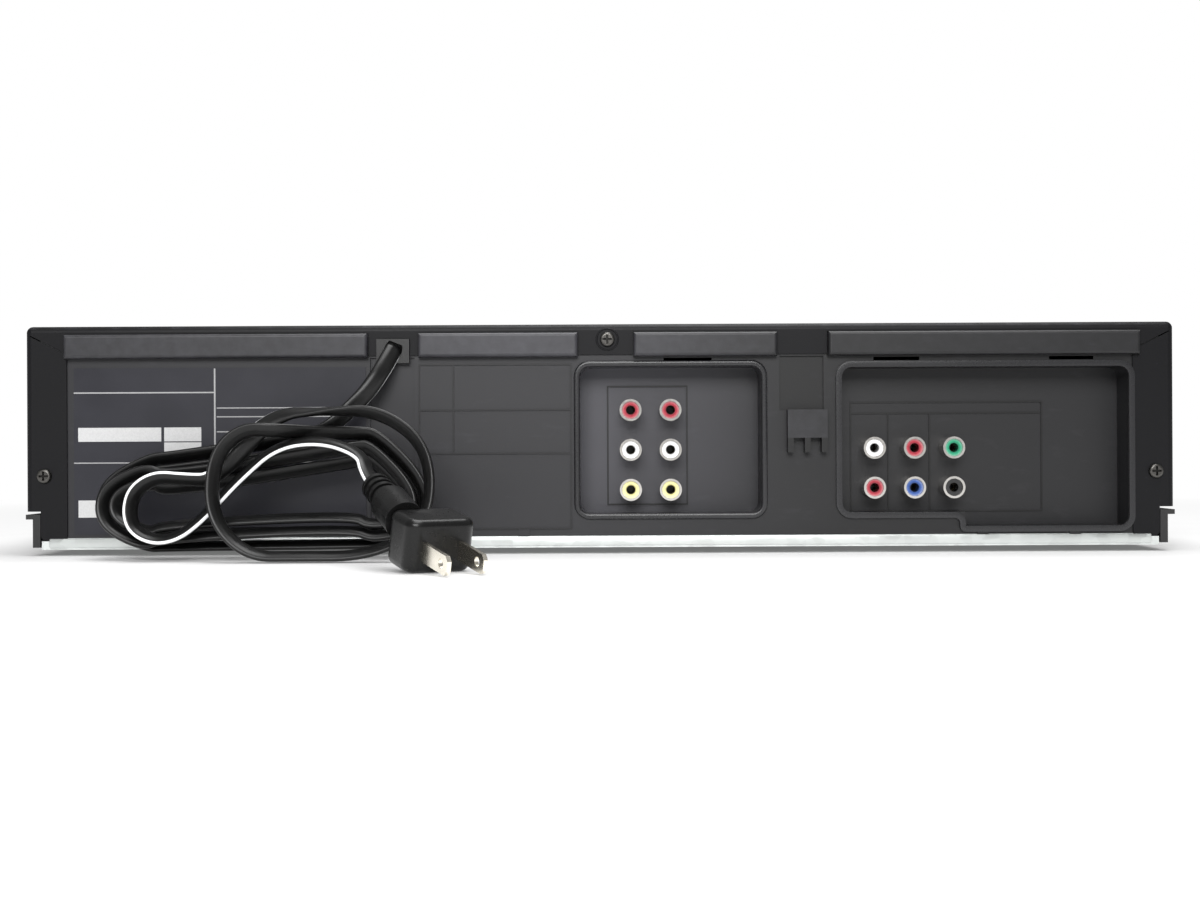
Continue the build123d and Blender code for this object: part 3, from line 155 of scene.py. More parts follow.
# %% Control points of the whole lead
exit_point = Vector((77.4, 129.5, 75.6)) * MM
exit_direction = Vector((0.30, 0.62, -0.73)).normalized()
first_heading = (Vector((1.0, 0.0, 0.0)) - hank_up).normalized()
hank_first = hank_point(92.0, 55.0, 0)
relief_direction = Vector((0.42, -0.84, 0.35)).normalized()
relief_end = Vector((63.0, 212.0, 16.2)) * MM + relief_direction * 30.0 * MM

lead_points = [
    exit_point - exit_direction * 3.0 * MM,
    exit_point + exit_direction * 8.0 * MM,
    hank_first - first_heading * 9.0 * MM,
    hank_first,
    hank_point(99.0, 48.0, 0),
    hank_point(108.0, 44.4, 0),
]
for turn in range(2 * hank_turns_per_layer):
    lead_points += hank_turn(turn)[1 if turn == 0 else 0:]
knot = [
    (88.0, 46.0, 1.0), (103.0, 46.2, 2.0), (114.0, 47.0, 3.0), (127.0, 47.5, 3.0), (136.0, 37.0, 3.0),
    (136.0, 16.0, 3.0), (123.0, hank_bottom, 3.0), (106.0, hank_bottom, 3.0), (80.0, hank_bottom, 3.0),
    (60.0, 13.0, 3.0), (60.0, 40.0, 2.7), (78.0, 54.0, 2.2),
]
last_loop = [
    (98.0, 54.0, 2.0), (118.0, 53.0, 2.0), (136.0, 29.0, 2.0), (148.0, 29.5, 2.0), (158.0, 30.5, 2.0),
    (165.5, 25.5, 2.0), (167.0, 17.5, 2.0), (164.5, 11.0, 2.0), (157.0, 7.5, 2.0), (149.0, 9.0, 2.0),
    (142.0, 14.5, 2.0), (136.0, 21.0, 2.0), (128.0, 30.0, 2.0), (115.0, 41.5, 2.3),
]
lead_points += [hank_point(*place) for place in knot + last_loop]
hank_last = hank_point(111.2, 37.0, 2)
lead_points += [
    hank_last + Vector((-13.0, 4.6, 6.5)) * MM,
    hank_last + Vector((-28.0, 11.5, 1.5)) * MM,
    relief_end + relief_direction * 10.0 * MM,
    relief_end,
]
print("lead", len(lead_points), "control points")

# %% From control points to a line
route_curve = bpy.data.curves.new("lead_route", "CURVE")
route_curve.dimensions = "3D"
route_spline = route_curve.splines.new("NURBS")
route_spline.points.add(len(lead_points) - 1)
for point, place in zip(route_spline.points, lead_points):
    point.co = (*place, 1.0)
route_spline.order_u = 3
route_spline.use_endpoint_u = True
route_spline.resolution_u = 10
route_object = bpy.data.objects.new("lead_route", route_curve)
route_mesh = bpy.data.meshes.new_from_object(route_object)
lead_line = [vertex.co.copy() for vertex in route_mesh.vertices]
lead_along = [0.0]
for before, after in zip(lead_line, lead_line[1:]):
    lead_along.append(lead_along[-1] + (after - before).length)
bpy.data.objects.remove(route_object)
bpy.data.meshes.remove(route_mesh)
bpy.data.curves.remove(route_curve)
print("lead line", len(lead_line), "points,", round(lead_along[-1], 3), "m")

# %% [markdown]
# ## The lead itself
# A flat twin is two round cores in one sheath, so its section is a figure of eight with a shallow
# valley. A curve's own bevel would turn its section where the curve leaves a plane. Here the tube is
# built ring by ring along the line. Its broad side is turned to the camera as it leaves the case and
# lies slanted in the hank. Half a turn of twist after the knot brings the marked core to the front.

# %% Section and twist of the lead
drop_roll = math.radians(66.0)
hank_roll = math.radians(30.0)
drop_share = 0.045
twist_start, twist_end = 0.84, 0.895
core_radius = lead_thickness / 2
core_offset = (lead_width - lead_thickness) / 2
valley_depth = 0.16
valley_reach = 0.42


def eased(value, low, high):
    """A smooth step from 0 at low to 1 at high."""
    step = min(1.0, max(0.0, (value - low) / (high - low)))
    return step * step * (3.0 - 2.0 * step)


def lead_profile(angle):
    """A point of the section, across and through the lead, for an angle from its marked edge."""
    across = math.cos(angle)
    through = math.sin(angle)
    valley = 1.0 - valley_depth * max(0.0, 1.0 - (across / valley_reach) ** 2)
    return across * (core_offset + core_radius * abs(across)), through * core_radius * valley


def lead_roll(share):
    """How far the lead has turned about itself, in radians, at a share of its length."""
    slant = drop_roll + (hank_roll - drop_roll) * eased(share, 0.0, drop_share)
    return slant + math.pi * (1.0 - eased(share, twist_start, twist_end))


print("section", [round(lead_profile(angle)[0], 5) for angle in (0.0, math.pi)], "m across")

# %% Lead tube
ring_sides = 20
tube = bmesh.new()
tube_uv = tube.loops.layers.uv.new("lead")
rings = []
for index, place in enumerate(lead_line):
    before = lead_line[max(0, index - 1)]
    after = lead_line[min(len(lead_line) - 1, index + 1)]
    heading = (after - before).normalized()
    across = (hank_out - heading * hank_out.dot(heading)).normalized()
    across.rotate(Matrix.Rotation(lead_roll(lead_along[index] / lead_along[-1]), 3, heading))
    through = heading.cross(across)
    ring = []
    for side in range(ring_sides):
        wide, deep = lead_profile(2.0 * math.pi * side / ring_sides)
        ring.append(tube.verts.new(place + across * wide + through * deep))
    rings.append(ring)
for index, (ring, further) in enumerate(zip(rings, rings[1:])):
    for side in range(ring_sides):
        next_side = (side + 1) % ring_sides
        face = tube.faces.new((ring[side], ring[next_side], further[next_side], further[side]))
        face.smooth = True
        sides = (side, side + 1, side + 1, side)
        ends = (index, index, index + 1, index + 1)
        for loop, around, end in zip(face.loops, sides, ends):
            loop[tube_uv].uv = (lead_along[end] / lead_width, around / ring_sides)
tube.faces.new(list(reversed(rings[0])))
tube.faces.new(rings[-1])
bmesh.ops.recalc_face_normals(tube, faces=tube.faces)
lead_mesh = bpy.data.meshes.new("mains_lead")
tube.to_mesh(lead_mesh)
tube.free()
print("lead tube", len(lead_mesh.polygons), "faces")

# %% The lead as one cord of the part
mains_lead = bpy.data.objects.new("mains_lead", lead_mesh)
bpy.context.collection.objects.link(mains_lead)
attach(mains_lead, "case")
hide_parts("power_cord", "cord_hank", "plug_lead")
print(mains_lead.name, "stands for the drop, the hank and the lead to the plug")

# %% [markdown]
# ## Writing finishes as sums
# A finish is a small network of shader nodes. Written node by node it is hard to read, so a value in
# the network is wrapped in a class that knows plus, minus and times: `1 - mask` then adds a Math node
# by itself, and any other node comes from one method.

# %% A class for values
class Value:
    """A socket of a finish that Python's operators can work on."""

    def __init__(self, finish, socket):
        self.finish = finish
        self.socket = socket

    def maths(self, operation, first, second):
        return self.finish.node("ShaderNodeMath", {"operation": operation}, {0: first, 1: second})

    def __add__(self, other):
        return self.maths("ADD", self, other)

    def __radd__(self, other):
        return self.maths("ADD", other, self)

    def __sub__(self, other):
        return self.maths("SUBTRACT", self, other)

    def __rsub__(self, other):
        return self.maths("SUBTRACT", other, self)

    def __mul__(self, other):
        return self.maths("MULTIPLY", self, other)

    def __rmul__(self, other):
        return self.maths("MULTIPLY", other, self)

    def __pow__(self, other):
        return self.maths("POWER", self, other)

    def __lt__(self, other):
        return self.maths("LESS_THAN", self, other)

    def __gt__(self, other):
        return self.maths("GREATER_THAN", self, other)

    def __abs__(self):
        return self.finish.node("ShaderNodeMath", {"operation": "ABSOLUTE"}, {0: self})


# %% A class for finishes
class Finish:
    """A procedural material and the methods that add nodes to it."""

    def __init__(self, name, **shader):
        self.material = bpy.data.materials.new(name)
        self.material.use_nodes = True
        self.tree = self.material.node_tree
        self.shader = self.tree.nodes["Principled BSDF"]
        self.places = None
        for socket, value in shader.items():
            self.shader.inputs[socket.replace("_", " ")].default_value = value

    def node(self, kind, settings=None, inputs=None, output=0):
        made = self.tree.nodes.new(kind)
        for name, value in (settings or {}).items():
            setattr(made, name, value)
        for socket, value in (inputs or {}).items():
            if isinstance(value, Value):
                self.tree.links.new(value.socket, made.inputs[socket])
            else:
                made.inputs[socket].default_value = value
        return Value(self, made.outputs[output])

    def place(self):
        """The point being shaded, in metres in the shared frame."""
        if self.places is None:
            self.places = self.node("ShaderNodeTexCoord", output="Object")
        return self.places

    def axes(self, vector=None):
        """The x, y and z of a vector."""
        split = self.tree.nodes.new("ShaderNodeSeparateXYZ")
        self.tree.links.new((vector or self.place()).socket, split.inputs[0])
        return [Value(self, socket) for socket in split.outputs]

    def noise(self, scale, detail=2.0, vector=None, roughness=0.5):
        return self.node("ShaderNodeTexNoise", None, {
            "Vector": vector or self.place(), "Scale": scale, "Detail": detail, "Roughness": roughness})

    def mix(self, share, first, second):
        """A colour between two, by a share from 0 to 1."""
        return self.node("ShaderNodeMix", {"data_type": "RGBA"}, {0: share, 6: first, 7: second}, output=2)

    def ramp(self, value, low, high):
        """A value stretched so that low gives 0 and high gives 1, and held there."""
        return self.node("ShaderNodeMapRange", None, {"Value": value, "From Min": low, "From Max": high})

    def stretched(self, scale):
        """Object coordinates, stretched by a factor along each axis."""
        return self.node("ShaderNodeMapping", None, {"Vector": self.place(), "Scale": scale})

    def feed(self, socket, value):
        self.tree.links.new(value.socket, self.shader.inputs[socket])

    def bump(self, height, strength, distance):
        self.feed("Normal", self.node("ShaderNodeBump", None, {
            "Height": height, "Strength": strength, "Distance": distance}))

    def dress(self, *names):
        """Put the finish on CAD nodes or new pieces."""
        for name in names:
            mesh = bpy.data.objects[name].data
            mesh.materials.clear()
            mesh.materials.append(self.material)


def grey(level, tint=(1.0, 1.0, 1.0)):
    """A colour of one level, with a slight tint."""
    return (*(level * share for share in tint), 1.0)


def shaded(colour, share):
    """A colour made darker or paler, and never brighter than white."""
    return (*(min(1.0, value * share) for value in colour[:3]), 1.0)


# %% [markdown]
# ## Trim
# A few small pieces that the solids don't have, among them the ridges that a finger finds on the
# cassette door and on the tray front. A ridge could be a bump in the finish, but then it would have
# no edge from the side. So each is modelled from a cube, rounded by a Bevel modifier, and rides on
# the piece that carries it.

# %% Helpers for trim
def solo(piece):
    """Leave one object selected and active."""
    bpy.ops.object.select_all(action="DESELECT")
    piece.select_set(True)
    bpy.context.view_layer.objects.active = piece


def settle(piece, name, body):
    """Move a piece's place into its mesh, name it and tie it to its body."""
    solo(piece)
    bpy.ops.object.transform_apply(location=True, rotation=True, scale=True)
    bpy.ops.object.mode_set(mode="EDIT")
    bpy.ops.mesh.select_all(action="SELECT")
    bpy.ops.mesh.normals_make_consistent(inside=False)
    bpy.ops.object.mode_set(mode="OBJECT")
    bpy.ops.object.shade_smooth_by_angle(angle=math.radians(35.0))
    piece.name = name
    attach(piece, body)


def rounded(piece, width, segments=3):
    """Round every sharp edge of a piece."""
    solo(piece)
    bpy.ops.object.modifier_add(type="BEVEL")
    piece.modifiers[-1].width = width
    piece.modifiers[-1].segments = segments
    bpy.ops.object.modifier_apply(modifier=piece.modifiers[-1].name)


def ridge(name, low, high, body):
    """A bar between two corners, with rounded edges."""
    bpy.ops.object.select_all(action="DESELECT")
    low, high = Vector(low), Vector(high)
    bpy.ops.mesh.primitive_cube_add(size=1.0, location=(low + high) / 2)
    piece = bpy.context.object
    piece.scale = high - low
    bpy.ops.object.transform_apply(location=True, rotation=True, scale=True)
    rounded(piece, min(high - low) * 0.45)
    settle(piece, name, body)


# %% Finger ridges
fascia_y = -0.130
ridge_root = fascia_y + 0.0004
door_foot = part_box("cassette_door")[0][2]
tray_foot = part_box("tray_front")[0][2]
for index in range(3):
    height = door_foot + 0.0028 + 0.0018 * index
    ridge(f"door_ridge_{index + 1}", (0.062, fascia_y - 0.0005, height),
          (0.142, ridge_root, height + 0.0009), "cassette_door")
ridge("tray_ridge", (-0.146, fascia_y - 0.0006, tray_foot + 0.0016),
      (-0.096, ridge_root, tray_foot + 0.0028), "tray")
print("ridges: three on the cassette door, one on the tray front")

# %% [markdown]
# ## Bezel and screw ring
# A thin frame hides the gap round the display window, and the cover is pressed up in a ring round
# its middle screw. The frame could be four bars, but they would show their joints. It is one plane
# here: inset, opened in the middle, extruded and bevelled. The ring is a torus, half sunk in the cover.

# %% Bezel round the display window
bezel_lap = 0.005
bezel_width = 0.0026
bezel_depth = 0.0009
window_low, window_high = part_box("display_window")
window_middle = (Vector(window_low) + Vector(window_high)) / 2
bpy.ops.object.select_all(action="DESELECT")
bpy.ops.mesh.primitive_plane_add(
    size=1.0, location=(window_middle.x, fascia_y + 0.0003, window_middle.z),
    rotation=(math.pi / 2, 0.0, 0.0))
bezel = bpy.context.object
bezel.scale = (window_high[0] - window_low[0] + bezel_lap, window_high[2] - window_low[2] + bezel_lap, 1.0)
bpy.ops.object.transform_apply(location=True, rotation=True, scale=True)
bpy.ops.object.mode_set(mode="EDIT")
bpy.ops.mesh.select_all(action="SELECT")
bpy.ops.mesh.inset(thickness=bezel_width, depth=0.0)
bpy.ops.mesh.delete(type="FACE")
bpy.ops.mesh.select_all(action="SELECT")
bpy.ops.mesh.extrude_region_move(TRANSFORM_OT_translate={"value": (0.0, -bezel_depth, 0.0)})
bpy.ops.object.mode_set(mode="OBJECT")
rounded(bezel, 0.0003)
settle(bezel, "window_bezel", "case")
print(bezel.name, len(bezel.data.polygons), "faces")

# %% Ring round the middle cover screw
middle_screw = (-0.0029, rear_face, 0.0802)
bpy.ops.object.select_all(action="DESELECT")
bpy.ops.mesh.primitive_torus_add(
    major_radius=0.0040, minor_radius=0.00035, major_segments=48, minor_segments=10,
    location=middle_screw, rotation=(math.pi / 2, 0.0, 0.0))
settle(bpy.context.object, "screw_ring", "case")
print("screw_ring at", middle_screw)

# %% [markdown]
# ## Rims and lip
# The mouths of the two sunk bays have a rolled rim, and the foot of the disc bay steps down on one
# side. A curve with a round bevel could follow the mouth, but its corners would be hard to keep even.
# Here a plane is cut and extruded to the outline, its corners are bevelled, and an inset leaves the
# band that becomes the rim. Along the foot of the back runs the bright edge of the zinc plate.

# %% Rolled rims of the two sunk bays
panel_face = 0.1272
rim_width = 0.0022
rim_proud = 0.0012
rim_root = 0.0004
rim_corner = 0.0058


def pick(piece, test):
    """In edit mode, select only the corners of a piece whose places pass a test."""
    bpy.ops.mesh.select_mode(type="VERT")
    bpy.ops.mesh.select_all(action="DESELECT")
    bpy.ops.object.mode_set(mode="OBJECT")
    for vertex in piece.data.vertices:
        vertex.select = test(vertex.co)
    bpy.ops.object.mode_set(mode="EDIT")


def bay_rim(name, low, high, step_x=None, step_drop=0.0):
    """A rolled bead round a bay between two corners, with a step down in its foot if it has one."""
    bpy.ops.object.select_all(action="DESELECT")
    bpy.ops.mesh.primitive_plane_add(
        size=1.0, location=((low[0] + high[0]) / 2, panel_face - rim_root, (low[1] + high[1]) / 2),
        rotation=(-math.pi / 2, 0.0, 0.0))
    rim = bpy.context.object
    rim.scale = (high[0] - low[0] + 2 * rim_width, high[1] - low[1] + 2 * rim_width, 1.0)
    bpy.ops.object.transform_apply(location=True, rotation=True, scale=True)
    bpy.ops.object.mode_set(mode="EDIT")
    if step_x is not None:
        bpy.ops.mesh.select_all(action="SELECT")
        bpy.ops.mesh.bisect(plane_co=(step_x + rim_width, 0.0, 0.0), plane_no=(1.0, 0.0, 0.0))
        pick(rim, lambda place: place.z < low[1] and place.x < step_x + 2 * rim_width)
        bpy.ops.mesh.extrude_region_move(TRANSFORM_OT_translate={"value": (0.0, 0.0, -step_drop)})
        bpy.ops.mesh.select_all(action="SELECT")
        bpy.ops.mesh.dissolve_limited(angle_limit=math.radians(1.0))
        pick(rim, lambda place: abs(place.x - step_x) < 2 * rim_width)
        bpy.ops.mesh.bevel(offset=step_drop * 0.4, segments=5, affect="VERTICES")
    pick(rim, lambda place: min(abs(place.x - low[0]), abs(place.x - high[0])) < 2 * rim_width)
    bpy.ops.mesh.bevel(offset=rim_corner, segments=6, affect="VERTICES")
    bpy.ops.mesh.select_all(action="SELECT")
    bpy.ops.mesh.inset(thickness=rim_width, depth=0.0)
    bpy.ops.mesh.delete(type="FACE")
    bpy.ops.mesh.select_all(action="SELECT")
    bpy.ops.mesh.extrude_region_move(TRANSFORM_OT_translate={"value": (0.0, rim_proud + rim_root, 0.0)})
    bpy.ops.object.mode_set(mode="OBJECT")
    rounded(rim, rim_width * 0.42, 5)
    settle(rim, name, "case")


bay_rim("line_bay_rim", (-0.0605, 0.0150), (0.0075, 0.0700))
bay_rim("disc_bay_rim", (-0.1980, 0.0150), (-0.0906, 0.0694), step_x=-0.1368, step_drop=0.0053)

# %% Bright edge of the zinc plate
lip_low = (-0.2062, rear_face - 0.0006, 0.0030)
lip_high = (0.2062, rear_face + 0.0004, 0.0066)
ridge("lip_bead", lip_low, lip_high, "case")
print("lip_bead", round(lip_high[2] - lip_low[2], 4), "m high")

# %% [markdown]
# ## Plastics
# A moulding takes the fine pitted grain of its spark-eroded tool. The rear panel also has light and
# shade painted into its colour. The sunk bays are painted paler. The hood bars, with their leathery
# grain, get a painted highlight that is strongest at their middle, and the face of the hook is painted
# lit. The channel over the hook, the prongs under it and the fine ribs that frame the sockets get
# painted shade. All of it fades towards the right of the picture, as the light does there. The panel
# could be split into pieces with a material each. One finish that picks them out by their places in
# the shared frame keeps the moulding whole.

# %% Helpers for mouldings
black = grey(0.0)


def within(value, low, high):
    """1 where a value lies between two limits, and 0 elsewhere."""
    return (value > low) * (value < high)


def moulded(name, colour, roughness, grain, depth, wander=0.25, **shader):
    """Moulded plastic: an even grain from the tool's spark-eroded face, and a slow drift of shade."""
    finish = Finish(name, **shader)
    drift = finish.noise(18.0, 3.0)
    finish.feed("Base Color", finish.mix(drift, shaded(colour, 1.0 - wander), shaded(colour, 1.0 + wander)))
    fine = finish.noise(grain, 2.0)
    finish.feed("Roughness", roughness + (fine - 0.5) * 0.16 + (drift - 0.5) * 0.10)
    finish.bump(fine, 0.35, depth)
    return finish


# %% Rear moulding
bay_face = 0.1142
bay_edge = 0.1262
hood_face = 0.1284
rib_root, rib_top = 0.00005, 0.00048
prong_top = 0.0430
panel_tint = (1.0, 0.985, 1.15)
rear = Finish("rear_moulding", Specular_IOR_Level=0.38)
x, y, z = rear.axes()
drift = rear.noise(14.0, 3.0)
grain = rear.noise(2600.0, 2.0)
scuffs = rear.ramp(rear.noise(90.0, 6.0, rear.stretched((1.0, 1.0, 3.0))), 0.60, 0.78)
# Painted light: lit fades the colour towards the right, where the light falls off, and centre is a painted
# pool of light at the middle of the hood bars.
lit = rear.ramp(x, -0.09, 0.0)
centre = 1.0 - rear.ramp(abs(x - 0.03), 0.0, 0.10)
# Painted light: the sunk bays are made paler, more so on the left.
painted_bay_light = (y < bay_edge) * (0.45 + 1.15 * lit)
# The fine ribs on the bay floors and round the sockets read as dark lines, which is painted shadow.
bay_rib_shadow = within(y, bay_face + rib_root, bay_face + rib_top)
frame_rib_shadow = within(y, panel_face + rib_root, panel_face + rib_top)
hood = y > hood_face
# The channel over the hook is a recess, and its darkening is painted shade.
painted_channel_shade = within(x, -0.0840, -0.0672) * within(z, 0.0532, 0.0740) * (1.0 - hood)
# The face of the hook is painted lit, and its prongs below are painted in shadow.
hook = within(x, -0.0854, -0.0694) * (y > panel_face + 0.0006) * within(z, 0.0370, 0.0541)
painted_prong_shadow = hook * (z < prong_top)
leather = rear.ramp(rear.noise(260.0, 4.0), 0.35, 0.65)
shade = (0.80 + 0.40 * drift) * (0.30 + 0.70 * lit)
# The hood bars get a painted highlight, strongest at their middle, on top of their leathery grain.
shade = shade * (1.0 + 1.6 * painted_bay_light + hood * (0.1 + 0.6 * leather + 1.1 * centre))
shade = shade * (1.0 - 0.88 * bay_rib_shadow) * (1.0 - 0.55 * frame_rib_shadow) * (1.0 - 0.75 * painted_channel_shade)
shade = shade * (1.0 + 0.7 * hook - 1.55 * painted_prong_shadow)
rear.feed("Base Color", rear.mix(0.013 * shade + 0.006 * scuffs, black, grey(1.0, panel_tint)))
rear.feed("Roughness", 0.43 + (grain - 0.5) * 0.16 + (drift - 0.5) * 0.10 - 0.08 * scuffs)
rear.bump(grain, 0.35, 0.00006)
rear.dress("rear_panel")
print("rear moulding", len(rear.tree.nodes), "nodes")

# %% Other black mouldings
rims = moulded("rim_moulding", grey(0.009, panel_tint), 0.29, 2600.0, 0.00005)
rims.dress("line_bay_rim", "disc_bay_rim")
moulded("chassis_moulding", grey(0.012), 0.46, 2400.0, 0.00006, Specular_IOR_Level=0.4).dress("main_chassis")
moulded("bushing_moulding", grey(0.008), 0.34, 2000.0, 0.00004).dress("cord_bushing")
moulded("socket_black", grey(0.012), 0.40, 2000.0, 0.00005).dress("line_jack_block", "disc_jack_block")
moulded("foot_rubber", grey(0.012), 0.75, 1500.0, 0.00008, Specular_IOR_Level=0.25).dress("feet")
print("rims, chassis, bushing, socket blocks and feet dressed")

# %% [markdown]
# ## Cover and screws
# The cover is folded steel with a black paint that dries with a slight orange peel and holds a little
# dust. Its rear top bend carries a painted highlight, broken up by a noise. The screws are blackened,
# and their crowns are rubbed bright. A mask for the bend could be painted on by hand. Here it comes
# from the height of the edge and a noise, so it needs no picture.

# %% Cover paint and screws
paint = Finish("cover_paint", Specular_IOR_Level=0.16)
drift = paint.noise(9.0, 4.0)
orange_peel = paint.noise(1400.0, 3.0)
dust = paint.ramp(paint.noise(420.0, 8.0, roughness=0.7), 0.66, 0.74)
y, z = paint.axes()[1:]
edge = paint.ramp(z, 0.0846, 0.0860) * paint.ramp(y, 0.1266, 0.1276)
painted_bend_highlight = edge * paint.ramp(paint.noise(160.0, 5.0), 0.45, 0.60)
# Painted highlight: the rear top bend is made paler where it catches the light, broken up by a noise.
paint.feed("Base Color", paint.mix(
    0.003 + 0.002 * drift + 0.008 * dust + 0.02 * painted_bend_highlight, black, grey(1.0, (1.0, 0.99, 1.2))))
paint.feed("Roughness", 0.40 + (orange_peel - 0.5) * 0.18 + 0.08 * drift)
paint.bump(orange_peel, 0.30, 0.00005)
paint.dress("top_cover", "screw_ring")

screw = Finish("blackened_screw", Metallic=0.85)
crown = screw.ramp(screw.axes()[1], 0.1288, 0.1295)
turned_marks = screw.noise(1500.0, 3.0)
screw.feed("Base Color", screw.mix(
    0.02 + 0.06 * crown * (0.5 + turned_marks), black, grey(1.0, (1.0, 0.96, 0.90))))
screw.feed("Roughness", 0.30 + (turned_marks - 0.5) * 0.2)
screw.bump(turned_marks, 0.2, 0.00003)
screw.dress("cover_screws")
print("cover and screws dressed")

# %% [markdown]
# ## Metals
# Zinc plate has a spangle of pale and dull patches. Nickel is smooth and bright, pressed steel shows
# faint rolling lines, and turned parts show rings about their own axis. An anisotropic shader could
# stand for the lines, but the export doesn't bake one. It bakes a noise, stretched or read by radius.

# %% Helpers for metals
def metal(name, colour, roughness, grain, streak=(1.0, 1.0, 1.0), uneven=0.2):
    """Bare metal whose shade and roughness follow a noise that can be stretched into rolling lines."""
    finish = Finish(name, Metallic=1.0)
    lines = finish.noise(grain, 4.0, finish.stretched(streak))
    cloud = finish.noise(35.0, 3.0)
    finish.feed("Base Color", finish.mix(
        0.5 * lines + 0.5 * cloud, shaded(colour, 0.90), shaded(colour, 1.10)))
    finish.feed("Roughness", roughness + (lines - 0.5) * uneven + (cloud - 0.5) * 0.1)
    finish.bump(lines, 0.12, 0.00003)
    return finish


def turned(name, colour, roughness, centre):
    """Turned metal: fine rings about a vertical axis."""
    finish = Finish(name, Metallic=1.0)
    x, y, z = finish.axes()
    across, along = x - centre[0], y - centre[1]
    radius = (across * across + along * along) ** 0.5
    ring_place = finish.node("ShaderNodeCombineXYZ", None, {0: radius, 1: z * 0.6})
    ring = finish.noise(2600.0, 2.0, ring_place)
    cloud = finish.noise(40.0, 3.0)
    finish.feed("Base Color", finish.mix(0.6 * ring + 0.4 * cloud, shaded(colour, 0.86), colour))
    finish.feed("Roughness", roughness + (ring - 0.5) * 0.16)
    finish.bump(ring, 0.15, 0.00002)
    return finish


# %% Zinc plate
zinc_tint = (0.96, 1.0, 0.98)
zinc = Finish("zinc_plate", Metallic=1.0)
spangle = zinc.node("ShaderNodeTexVoronoi", None, {"Vector": zinc.place(), "Scale": 260.0}, output="Color")
patch = zinc.axes(spangle)[0]
haze = zinc.noise(30.0, 4.0)
zinc.feed("Base Color", zinc.mix(0.5 * patch + 0.5 * haze, grey(0.56, zinc_tint), grey(0.68, zinc_tint)))
zinc.feed("Roughness", 0.40 + (patch - 0.5) * 0.14 + (haze - 0.5) * 0.12)
zinc.bump(haze, 0.1, 0.00008)
zinc.dress("bottom_plate", "lip_bead")
print("zinc plate", len(zinc.tree.nodes), "nodes")

# %% Nickel, steel and alloy
metal("nickel_plate", (0.62, 0.60, 0.57, 1.0), 0.20, 700.0, uneven=0.12).dress("jack_sleeves")
blades = metal("blade_nickel", (0.76, 0.72, 0.63, 1.0), 0.26, 420.0, (1.0, 0.25, 1.0), uneven=0.16)
blades.dress("plug_blades")
# The contacts lie deep in their holes, and their near-black colour is painted shade.
metal("contact_in_painted_shade", (0.03, 0.024, 0.015, 1.0), 0.5, 900.0).dress("jack_contacts")
pressed = metal("deck_plate", (0.66, 0.67, 0.68, 1.0), 0.36, 300.0, (0.06, 1.0, 1.0))
pressed.dress("deck_chassis", "cassette_carriage")
bright = metal("bright_steel", (0.68, 0.68, 0.69, 1.0), 0.22, 500.0, (1.0, 0.1, 1.0))
bright.dress("guide_rods", "pinch_arm")
turned("drum_alloy", (0.78, 0.79, 0.80, 1.0), 0.16, (0.102, 0.045)).dress("lower_drum", "upper_drum")
turned("capstan_steel", (0.60, 0.60, 0.61, 1.0), 0.24, (0.046, 0.008)).dress("capstan")
turned("motor_can", (0.62, 0.63, 0.64, 1.0), 0.30, (-0.121, -0.058)).dress("spindle_motor")
print("metals dressed")

# %% [markdown]
# ## Sockets
# The colour of a socket tells a person which plug goes where. Each insulator has painted shade
# towards its hole and a painted highlight at its rim. A ramp for every socket would take twelve of
# them. The sockets of a bay stand one pitch apart, so the ping-pong of a coordinate over half a pitch
# is its distance from the nearest row or column, and one ramp serves them all.

# %% How far a point is from its socket's axis
socket_pitch = 0.0150
line_corner = (-0.0116, 0.0538)
disc_corner = (-0.1036, 0.0391)
between_bays = -0.07


def socket_reach(finish):
    """How far the shaded point lies from the axis of the socket it belongs to."""
    x, z = finish.axes()[::2]
    on_line = x > between_bays
    across = x - (disc_corner[0] + (line_corner[0] - disc_corner[0]) * on_line)
    up = z - (disc_corner[1] + (line_corner[1] - disc_corner[1]) * on_line)
    across = across.maths("PINGPONG", across, socket_pitch / 2)
    up = up.maths("PINGPONG", up, socket_pitch / 2)
    return (across * across + up * up) ** 0.5


# %% Socket colours
def glossy(name, colour, rim_highlight_share):
    """A glossy insulator with a slight mottle, painted shade round its hole and a painted highlight at its
    rim.
    """
    finish = Finish(name, Coat_Weight=0.25, Coat_Roughness=0.12)
    mottle = finish.noise(900.0, 3.0)
    reach = socket_reach(finish)
    # Painted shade round the hole, and a painted highlight at the rim.
    painted_hole_shade = finish.ramp(reach, 0.0016, 0.0024)
    rim = finish.ramp(reach, 0.0024, 0.0032)
    body = finish.mix(mottle, shaded(colour, 0.86), (*colour, 1.0))
    body = finish.mix(rim_highlight_share * rim, body, grey(0.9))
    finish.feed("Base Color", finish.mix(0.35 + 0.65 * painted_hole_shade, black, body))
    finish.feed("Roughness", 0.28 + (mottle - 0.5) * 0.15)
    finish.bump(mottle, 0.1, 0.00004)
    return finish


socket_colours = {
    "red": (0.38, 0.014, 0.034), "white": (0.90, 0.90, 0.90), "yellow": (0.90, 0.84, 0.36),
    "green": (0.006, 0.29, 0.15), "blue": (0.018, 0.08, 0.32), "black": (0.012, 0.012, 0.013),
}
for name, colour in socket_colours.items():
    glossy(f"{name}_insulator", colour, 0.0 if name == "black" else 0.18).dress(f"{name}_insulators")
print("sockets in", len(socket_colours), "colours")

# %% [markdown]
# ## Rating label
# The label is a dark printed film with white rules and plain white boxes. They could be thin pieces
# of their own, but ink has no height. Here each is a rectangle of the shader, 1 inside its limits and
# 0 outside, and a fine speckle keeps the white from being perfect.

